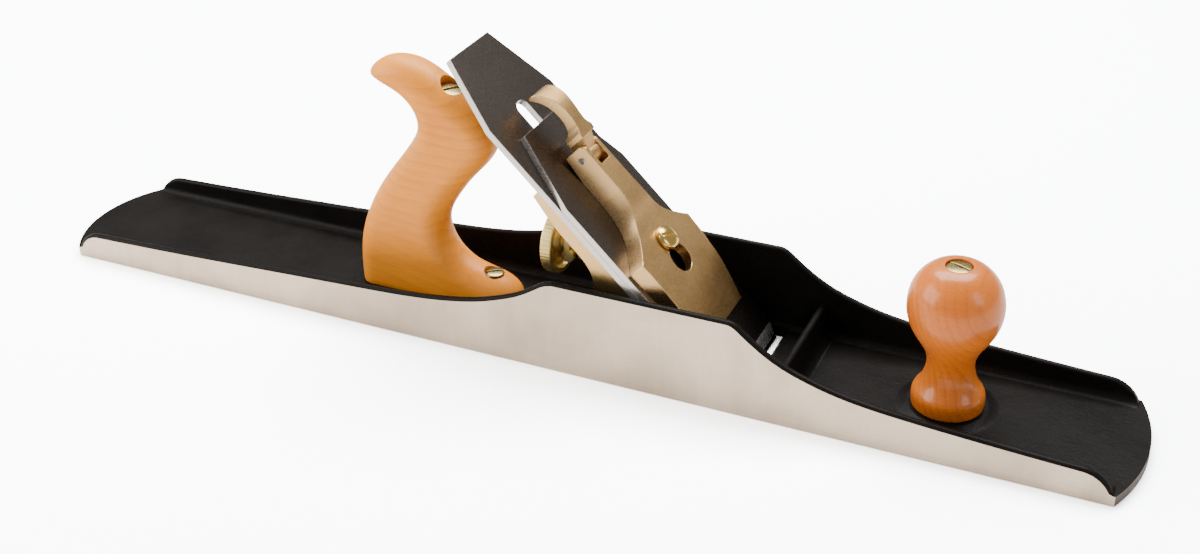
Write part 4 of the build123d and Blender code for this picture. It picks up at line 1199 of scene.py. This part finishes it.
@dataclass
class Knob:
    """The front handle: a turned cherry ball on a waisted foot, with its brass nut."""

    finishes: Finishes
    x: float = 193.7
    foot_z: float = 6.62
    recess: float = 5.95
    nut_z: float = 73.6
    bore_r: float = 3.3
    steps: int = 112

    def profile(self) -> list[Point]:
        """Draw the half outline of the knob, closed along its bore.

        Returns:
            The turning profile.
        """
        foot = [(self.bore_r, self.foot_z), (15.4, self.foot_z), (15.95, self.foot_z + 0.6)]
        base = flowing([(15.95, self.foot_z + 0.6), (16.15, 10.6), (15.9, 13.2), (15.0, 15.2)], 5)
        ball = flowing([(15.0, 15.2), (12.4, 19.4), (10.9, 24.0), (10.4, 28.2), (11.0, 32.4), (13.2, 37.4),
                        (16.4, 42.6), (19.2, 48.2), (20.75, 54.8), (20.4, 61.6), (18.2, 68.0), (14.2, 73.0),
                        (10.0, 75.7), (self.recess + 0.8, 76.5)], 8)
        rim = [(self.recess, 76.45), (self.recess, self.nut_z), (self.bore_r, self.nut_z)]
        return foot + base[1:] + ball[1:] + rim

    def build(self) -> list[bpy.types.Object]:
        """Make the knob and its nut.

        Returns:
            The two pieces, riding on the plane.
        """
        stand = Matrix.Translation((self.x, 0, 0))
        wood = Bench.turned("knob_ball", self.profile(), self.steps, stand)
        nut_head = SlottedHead("knob_cap_nut", radius=5.75, low=self.nut_z + 0.05, high=75.55, dome=0.8,
                               slot_w=1.5, spin=-22)
        nut = nut_head.build(stand)
        return [Bench.finish(wood, "plane", Slot.KNOB, ["knob"], self.finishes.knob, 40),
                Bench.finish(nut, "plane", Slot.BRASS, ["knob_nut"], self.finishes.aged_brass)]


@dataclass
class Cutter:
    """The thick blade and the flat cap iron that backs it up."""

    finishes: Finishes
    width: float = 60.3
    blade_t: float = 3.2
    cap_t: float = 3.1
    blade_end: float = 200.6
    blade_kink: float = 164.4
    blade_top_w: float = 35.3
    edge_set: float = 0.35
    bevel_len: float = 6.8
    slot_low: float = 58.0
    slot_top: float = 166.6
    slot_r: float = 4.5
    round_hole_r: float = 9.2
    cap_start: float = 2.4
    cap_end: float = 152.6
    cap_kink: float = 115.7
    cap_top_w: float = 36.4
    screw_hole: Point = (66.1, 83.1)
    screw_hole_r: float = 5.5
    fixing_hole: Point = (88.03, 95.97)
    fixing_hole_r: float = 3.97

    def leaf(self, name: str, start: float, kink: float, end: float, top_w: float, low: float,
             high: float) -> bpy.types.Object:
        """Make a flat iron: parallel sides that taper above a kink.

        Args:
            name: Piece name.
            start: Its lower end, measured up the bed.
            kink: Where the taper begins.
            end: Its upper end.
            top_w: Width of the upper end.
            low: Its underside, square to the bed.
            high: Its upper side.

        Returns:
            The iron, in mm.
        """
        half = [(start, self.width / 2), (kink, self.width / 2), (end, top_w / 2)]
        return Bench.slab(name, mirrored(half), low, high, Frame.BED.matrix())

    def sharpen(self, iron: bpy.types.Object, place: Vector, normal: Vector) -> None:
        """Bisect an iron across its end and keep the side behind the cut.

        Args:
            iron: The iron.
            place: A point on the cut.
            normal: The way from the cut to what is ground off.
        """
        Bench.select(iron)
        bpy.ops.object.mode_set(mode="EDIT")
        bpy.ops.mesh.select_all(action="SELECT")
        bpy.ops.mesh.bisect(plane_co=place, plane_no=normal, use_fill=True, clear_outer=True)
        bpy.ops.object.mode_set(mode="OBJECT")
        Bench.face_out(iron)

    def dress(self, iron: bpy.types.Object) -> None:
        """Give the wide faces the lapped finish, darkened as a painted dark reflection, and the narrow faces
        the bright ground finish.

        Args:
            iron: The iron.
        """
        iron.data.materials.append(self.finishes.steel)
        iron.data.materials.append(self.finishes.steel_edge)
        for face in iron.data.polygons:
            # Wide faces take the darkened lapped finish, a painted dark reflection.
            face.material_index = 0 if abs(face.normal.dot(OFF_BED)) > 0.985 else 1

    def build(self) -> list[bpy.types.Object]:
        """Make the blade and the cap iron.

        Returns:
            The two irons, riding on the blade's body.
        """
        bed = Frame.BED.matrix()
        turn = bed.to_3x3()
        blade = self.leaf("plane_iron", self.edge_set, self.blade_kink, self.blade_end, self.blade_top_w,
                          -self.blade_t, -0.02)
        slope = Vector((-self.blade_t, 0, -self.bevel_len)).normalized()
        self.sharpen(blade, bed @ Vector((self.edge_set, 0, 0)), turn @ slope)
        through = (-6, 3)
        round_hole = (self.slot_low - self.round_hole_r, self.slot_low + self.round_hole_r)
        Bench.join_with(blade, [
            Bench.long_hole((self.slot_low - 4, self.slot_top), self.slot_r, through),
            Bench.long_hole(round_hole, self.round_hole_r, through)])
        Bench.ease(blade, 0.22, 2)
        cap = self.leaf("cap_plate", self.cap_start, self.cap_kink, self.cap_end, self.cap_top_w, 0.02,
                        self.cap_t)
        nose = Vector((-0.45, 0, 1)).normalized()
        self.sharpen(cap, bed @ Vector((self.cap_start + 6.5, 0, self.cap_t)), turn @ nose)
        finger = [(104.2, -3.3), (108.6, -3.3), (108.6, 3.3), (104.2, 3.3)]
        Bench.join_with(cap, [
            Bench.long_hole(self.screw_hole, self.screw_hole_r, (-2, 6)),
            Bench.long_hole(self.fixing_hole, self.fixing_hole_r, (-2, 6)),
            Bench.slab("finger_hole", finger, -2, 6, bed)])
        Bench.ease(cap, 0.25, 2)
        pieces = []
        for iron, node in ((blade, "blade"), (cap, "cap_iron")):
            self.dress(iron)
            pieces.append(Bench.finish(iron, "blade_assembly", Slot.TOOL_STEEL, [node], self.finishes.steel))
        return pieces


@dataclass
class LeverCap:
    """The bronze lever cap, its cam lever and the domed screw that holds it."""

    finishes: Finishes
    under: float = 3.2
    front: float = 27.3
    end: float = 132.3
    top: float = 15.4
    neck: float = 7.9
    key_u: float = 64.0
    key_r: float = 7.2
    key_slot_r: float = 4.4
    screw_u: float = 74.6
    cam_u: float = 127.0
    cam_n: float = 10.1
    cam_slot_u: float = 120.3
    cam_slot: float = 4.2
    cap_draft: float = 3.0
    lever_draft: float = 2.2
    ceiling: float = 2.6

    def cap(self) -> bpy.types.Object:
        """Make the cap: a side outline cut to its plan, hollowed, with keyhole and cam slot.

        Returns:
            The cap, in mm.
        """
        crown = flowing([(106, self.top - 0.1), (101, 15.1), (95, 14.0), (89, 12.3), (84, 11.5)], 5)
        toe = flowing([(56, 10.3), (49, 9.6), (42, 8.2), (34.5, 6.2), (self.front, self.under + 0.9)], 4)
        shoulder = arc((self.end - 2.6, self.top - 2.6), 2.6, 0, 90, 6)
        sole = [(self.front, self.under), (118, self.under), (self.end, 4.9)]
        side = [*sole, *shoulder, *crown, (66, 11.1), *toe]
        body = Bench.slab("lever_cap_casting", side, -30, 30, Frame.SIDE.matrix())
        sweep = flowing([(74.6, 27.1), (76.2, 24.6), (78.8, 21.4), (84.8, 15.1), (93, 10.6), (99.5, 8.9),
                         (106, 8.2)], 6)
        half = [(self.front - 1, 22.9), (52, 25.8), *sweep, (self.end + 1, self.neck)]
        foot_half = [(a, b + 1.1) for a, b in half]
        bed = Frame.BED.matrix()
        plan = Bench.slab("plan", mirrored(foot_half), 2, 18, bed, self.cap_draft)
        Bench.join_with(body, [plan], "INTERSECT")
        narrowing = flowing([(72, 21), (74.5, 18.6), (80, 13.1), (85, 9.2), (90, 6.4)], 4)
        hollow = [(46, 19), *narrowing, (self.end + 1, 5.9)]
        wide = arc((self.key_u, 0), self.key_r, 0, 360, 47)[:-1]
        key_slot = (self.key_u - self.key_slot_r, self.screw_u + self.key_slot_r)
        half_slot = [(self.cam_slot_u, self.cam_slot), (136, self.cam_slot)]
        cam_slot = [(a, -b) for a, b in half_slot] + half_slot[::-1]
        Bench.join_with(body, [
            Bench.slab("hollow", mirrored(hollow), 2, self.under + self.ceiling, bed),
            Bench.slab("key", wide, 0, 30, bed),
            Bench.long_hole(key_slot, self.key_slot_r, (0, 30)),
            Bench.slab("cam_slot", cam_slot, 0, 30, bed)])
        Bench.ease(body, 0.45, 3, 24)
        return body

    def lever(self) -> bpy.types.Object:
        """Make the cam lever: an off-centre hub, a web and a curled thumb piece.

        Returns:
            The lever, in mm.
        """
        side = Frame.SIDE.matrix()
        hub_r, hub_half_w, pin_r = 5.25, 4.0, 1.65
        rim = arc((self.cam_u, self.cam_n - 0.6), hub_r, 0, 360, 48)[:-1]
        hub = Bench.slab("thumb_lever", rim, -hub_half_w, hub_half_w, side)
        web = [(self.cam_u + 2, self.cam_n - 4.4), (136, 8.9), (136, 18.0), (self.cam_u + 2, 14.6)]
        under = flowing([(138.6, 9.1), (139.6, 11.4), (142, 13.0), (150, 14.6), (158.5, 13.0),
                         (163.2, 9.4)], 5)
        over = flowing([(164.0, 10.3), (163.4, 13.6), (161, 16.6), (153, 19.7), (143, 19.2),
                        (134.6, 18.2)], 6)
        curl = Bench.slab("curl", [(134.6, 9.5), *under, *over], -8, 8, side)
        flare = flowing([(137.3, 7.2), (139.6, 5.5), (143.5, 4.9), (152, 5.6), (160, 6.9), (166, 7.5)], 5)
        plan = mirrored([(134.3, 4.0), (134.3, 7.1), *flare])
        outline = Bench.slab("lever_plan", plan, 0, 40, Frame.BED.matrix(), self.lever_draft)
        Bench.join_with(curl, [outline], "INTERSECT")
        web_half_w = hub_half_w - 0.05
        Bench.join_with(hub, [Bench.slab("web", web, -web_half_w, web_half_w, side), curl], "UNION")
        pin = Bench.slab("pin_bore", arc((self.cam_u, self.cam_n), pin_r, 0, 360, 24)[:-1], -9, 9, side)
        Bench.join_with(hub, [pin])
        Bench.ease(hub, 0.5, 3, 28)
        return hub

    def dress(self, casting: bpy.types.Object) -> None:
        """Blast the broad faces and leave the upright flanks brushed, their lighter colour a painted
        highlight.

        Args:
            casting: The cap or its lever.
        """
        casting.data.materials.append(self.finishes.bronze)
        casting.data.materials.append(self.finishes.bronze_flank_painted_highlight)
        for face in casting.data.polygons:
            # Upright faces take the brushed bronze whose lighter colour is a painted highlight.
            face.material_index = 1 if abs(face.normal.dot(OFF_BED)) < 0.35 else 0

    def screw(self) -> bpy.types.Object:
        """Make the domed brass screw in the keyhole.

        Returns:
            The screw, in mm.
        """
        stand = Frame.BED.matrix() @ Matrix.Translation((self.screw_u, 0, 0))
        domed = SlottedHead("keyhole_screw", radius=6.25, low=11.7, high=12.7, dome=2.6, slot_w=1.3, spin=50)
        head = domed.build(stand)
        shank = Bench.turned("shank", [(0, -9.0), (3.95, -9.0), (3.95, 12.0), (0, 12.0)], 40, stand)
        Bench.join_with(head, [shank], "UNION")
        return head

    def build(self) -> list[bpy.types.Object]:
        """Make the cap, the lever and the screw.

        Returns:
            The three pieces, each riding on its own body.
        """
        cap, lever = self.cap(), self.lever()
        self.dress(cap)
        self.dress(lever)
        bronze, brass = self.finishes.bronze, self.finishes.brass
        return [Bench.finish(cap, "lever_cap_assembly", Slot.BRONZE, ["lever_cap"], bronze),
                Bench.finish(lever, "cam", Slot.BRONZE, ["cam_lever"], bronze),
                Bench.finish(self.screw(), "frog_assembly", Slot.BRASS, ["lever_cap_screw"], brass)]


@dataclass
class DepthWheel:
    """The brass depth wheel: knurled rim, dished web and grooved hub."""

    finishes: Finishes
    z: float = 48.8
    rim_r: float = 15.95
    back_x: float = 2.0
    rim_w: float = 5.7
    bore: float = 4.05
    groove_r: float = 5.4
    knurls: int = 60
    knurl_share: float = 0.011

    def profile(self) -> list[Point]:
        """Draw the half outline of the wheel, from its back over the rim to the grooved hub.

        Returns:
            The turning profile.
        """
        back, front, rim = self.back_x, self.back_x + self.rim_w, self.rim_r
        crown = [(rim - 0.55, back), (rim - 0.15, back + 0.25), (rim, back + 0.7),
                 (rim, front - 0.7), (rim - 0.15, front - 0.25), (rim - 0.55, front)]
        dish = flowing([(13.4, front), (12.7, back + 3.9), (11.6, back + 3.2), (10.0, back + 3.1),
                        (8.9, back + 3.6), (8.1, 7.9)], 5)
        hub = [(self.groove_r, 8.1), (self.groove_r, 17.2), (7.3, 17.25), (7.4, 18.5), (7.1, 18.8)]
        return [(self.bore, back + 0.4), (self.bore + 0.6, back), *crown, *dish, *hub, (self.bore, 18.8)]

    def build(self) -> bpy.types.Object:
        """Make the wheel and press the knurls into its rim.

        Returns:
            The wheel, riding on its own body.
        """
        axis = Matrix.Translation((0, 0, self.z)) @ Frame.WHEEL.matrix()
        wheel = Bench.turned("depth_wheel", self.profile(), 4 * self.knurls, axis)
        for corner in wheel.data.vertices:
            radial = Vector((corner.co.y, corner.co.z - self.z))
            if radial.length > self.rim_r - 0.2:
                angle = math.atan2(radial.y, radial.x)
                shrink = 1 - self.knurl_share * (0.5 + 0.5 * math.cos(self.knurls * angle))
                corner.co.y, corner.co.z = radial.x * shrink, self.z + radial.y * shrink
        return Bench.finish(wheel, "depth_wheel", Slot.BRASS, ["adjuster_wheel"], self.finishes.wheel_brass)


# ---------------------------------------------------------------- studio
@dataclass
class Studio:
    """Camera, soft lights and paper floor."""

    finishes: Finishes
    azimuth: float = 25.886
    elevation: float = 28.042
    roll: float = -1.865
    lens: float = 47.163
    eye: tuple[float, float, float] = (0.3064, -0.5762, 0.4171)
    middle_z: float = 0.0709
    shift_y: float = -0.0667
    white: float = 0.4
    paper_size: float = 14.0
    paper_drop: float = 0.0004

    def camera(self) -> None:
        """Set up the scene's camera.

        The eye is measured from under the middle of the plane, in metres.
        """
        data = bpy.data.cameras.new("view_camera")
        data.sensor_width = 36.0
        data.lens = self.lens
        data.shift_y = self.shift_y
        data.clip_start = 0.01
        camera = bpy.data.objects.new("view_camera", data)
        bpy.context.collection.objects.link(camera)
        az, el, roll = (math.radians(v) for v in (self.azimuth, self.elevation, self.roll))
        back = Vector((math.sin(az) * math.cos(el), -math.cos(az) * math.cos(el), math.sin(el)))
        level = Vector((math.cos(az), math.sin(az), 0))
        rise = back.cross(level)
        across = math.cos(roll) * level + math.sin(roll) * rise
        upward = -math.sin(roll) * level + math.cos(roll) * rise
        turn = Matrix((across, upward, back)).transposed().to_4x4()
        low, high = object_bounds()
        middle = (Vector(low) + Vector(high)) / 2
        offset = Vector(self.eye) - Vector((0, 0, self.middle_z))
        camera.matrix_world = Matrix.Translation(middle + offset) @ turn
        bpy.context.scene.camera = camera

    def softbox(self, name: str, place: Sequence[float], size: Point, power: float, tint: Colour) -> None:
        """Hang one softbox aimed at the middle of the plane.

        Args:
            name: Lamp name.
            place: Where it hangs, in metres.
            size: Its width and height, in metres.
            power: Its power in watts.
            tint: Its colour.
        """
        data = bpy.data.lights.new(name, "AREA")
        data.shape = "RECTANGLE"
        data.size, data.size_y = size
        data.energy = power
        data.color = tint
        lamp = bpy.data.objects.new(name, data)
        bpy.context.collection.objects.link(lamp)
        aim = Vector((0, 0, 0.03)) - Vector(place)
        turn = aim.to_track_quat("-Z", "Y").to_matrix().to_4x4()
        lamp.matrix_world = Matrix.Translation(Vector(place)) @ turn

    def build(self) -> None:
        """Light the tent and lay the paper."""
        world = bpy.data.worlds.new("white_tent")
        bpy.context.scene.world = world
        world.use_nodes = True
        backdrop = world.node_tree.nodes["Background"]
        backdrop.inputs["Color"].default_value = (1.0, 1.0, 1.0, 1.0)
        backdrop.inputs["Strength"].default_value = self.white
        self.softbox("overhead", (-0.15, 0.55, 1.35), (1.5, 0.9), 56.0, (1.0, 0.99, 0.97))
        self.softbox("left_window", (-1.25, -0.75, 0.75), (1.3, 1.1), 30.0, (1.0, 0.97, 0.94))
        self.softbox("right_window", (1.35, -0.35, 0.8), (0.5, 0.8), 5.0, (0.97, 0.98, 1.0))
        bpy.ops.object.select_all(action="DESELECT")
        bpy.ops.mesh.primitive_grid_add(x_subdivisions=8, y_subdivisions=8, size=self.paper_size)
        paper = bpy.context.object
        paper.name = "paper_floor"
        paper.data.transform(Matrix.Translation((0, 0, -self.paper_drop)))
        paper.data.materials.append(self.finishes.paper)
        paper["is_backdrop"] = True
        self.camera()


class PackedMetal:
    """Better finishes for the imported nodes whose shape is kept."""

    STEEL = ("frog_pins", "frog_clamp_screws", "frog_tab", "frog_tab_screw", "frog_adjusting_screw",
             "adjuster_stud", "yoke_pin", "lateral_lever", "lateral_roller", "lateral_rivet",
             "cap_iron_screw", "spring_rivet", "cam_pin")
    BRASS = ("tote_rod", "knob_stud")

    def __init__(self, finishes: Finishes) -> None:
        """Choose a finish for each kept node.

        Args:
            finishes: The plane's finishes.
        """
        self.dressing: dict[str, bpy.types.Material] = {
            "frog": finishes.frog, "yoke": finishes.wheel_brass, "lever_cap_spring": finishes.spring}
        self.dressing.update(dict.fromkeys(self.STEEL, finishes.steel_edge))
        self.dressing.update(dict.fromkeys(self.BRASS, finishes.brass))

    def build(self, nodes: dict[str, bpy.types.Object]) -> None:
        """Put the finishes in the nodes' material slots.

        Args:
            nodes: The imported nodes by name.
        """
        for name, material in self.dressing.items():
            for slot in nodes[name].material_slots:
                slot.material = material
            LOG.info("%s dressed in %s", name, material.name)


def main() -> None:
    """Build the plane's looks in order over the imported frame."""
    logging.basicConfig(level=logging.INFO, format="%(name)s: %(message)s")
    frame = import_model()
    finishes = Finishes(Effects())
    for part in (Casting, Tote, Knob, Cutter, LeverCap, DepthWheel):
        part(finishes).build()
    PackedMetal(finishes).build(frame["nodes"])
    Studio(finishes).build()


if __name__ == "__main__":
    main()
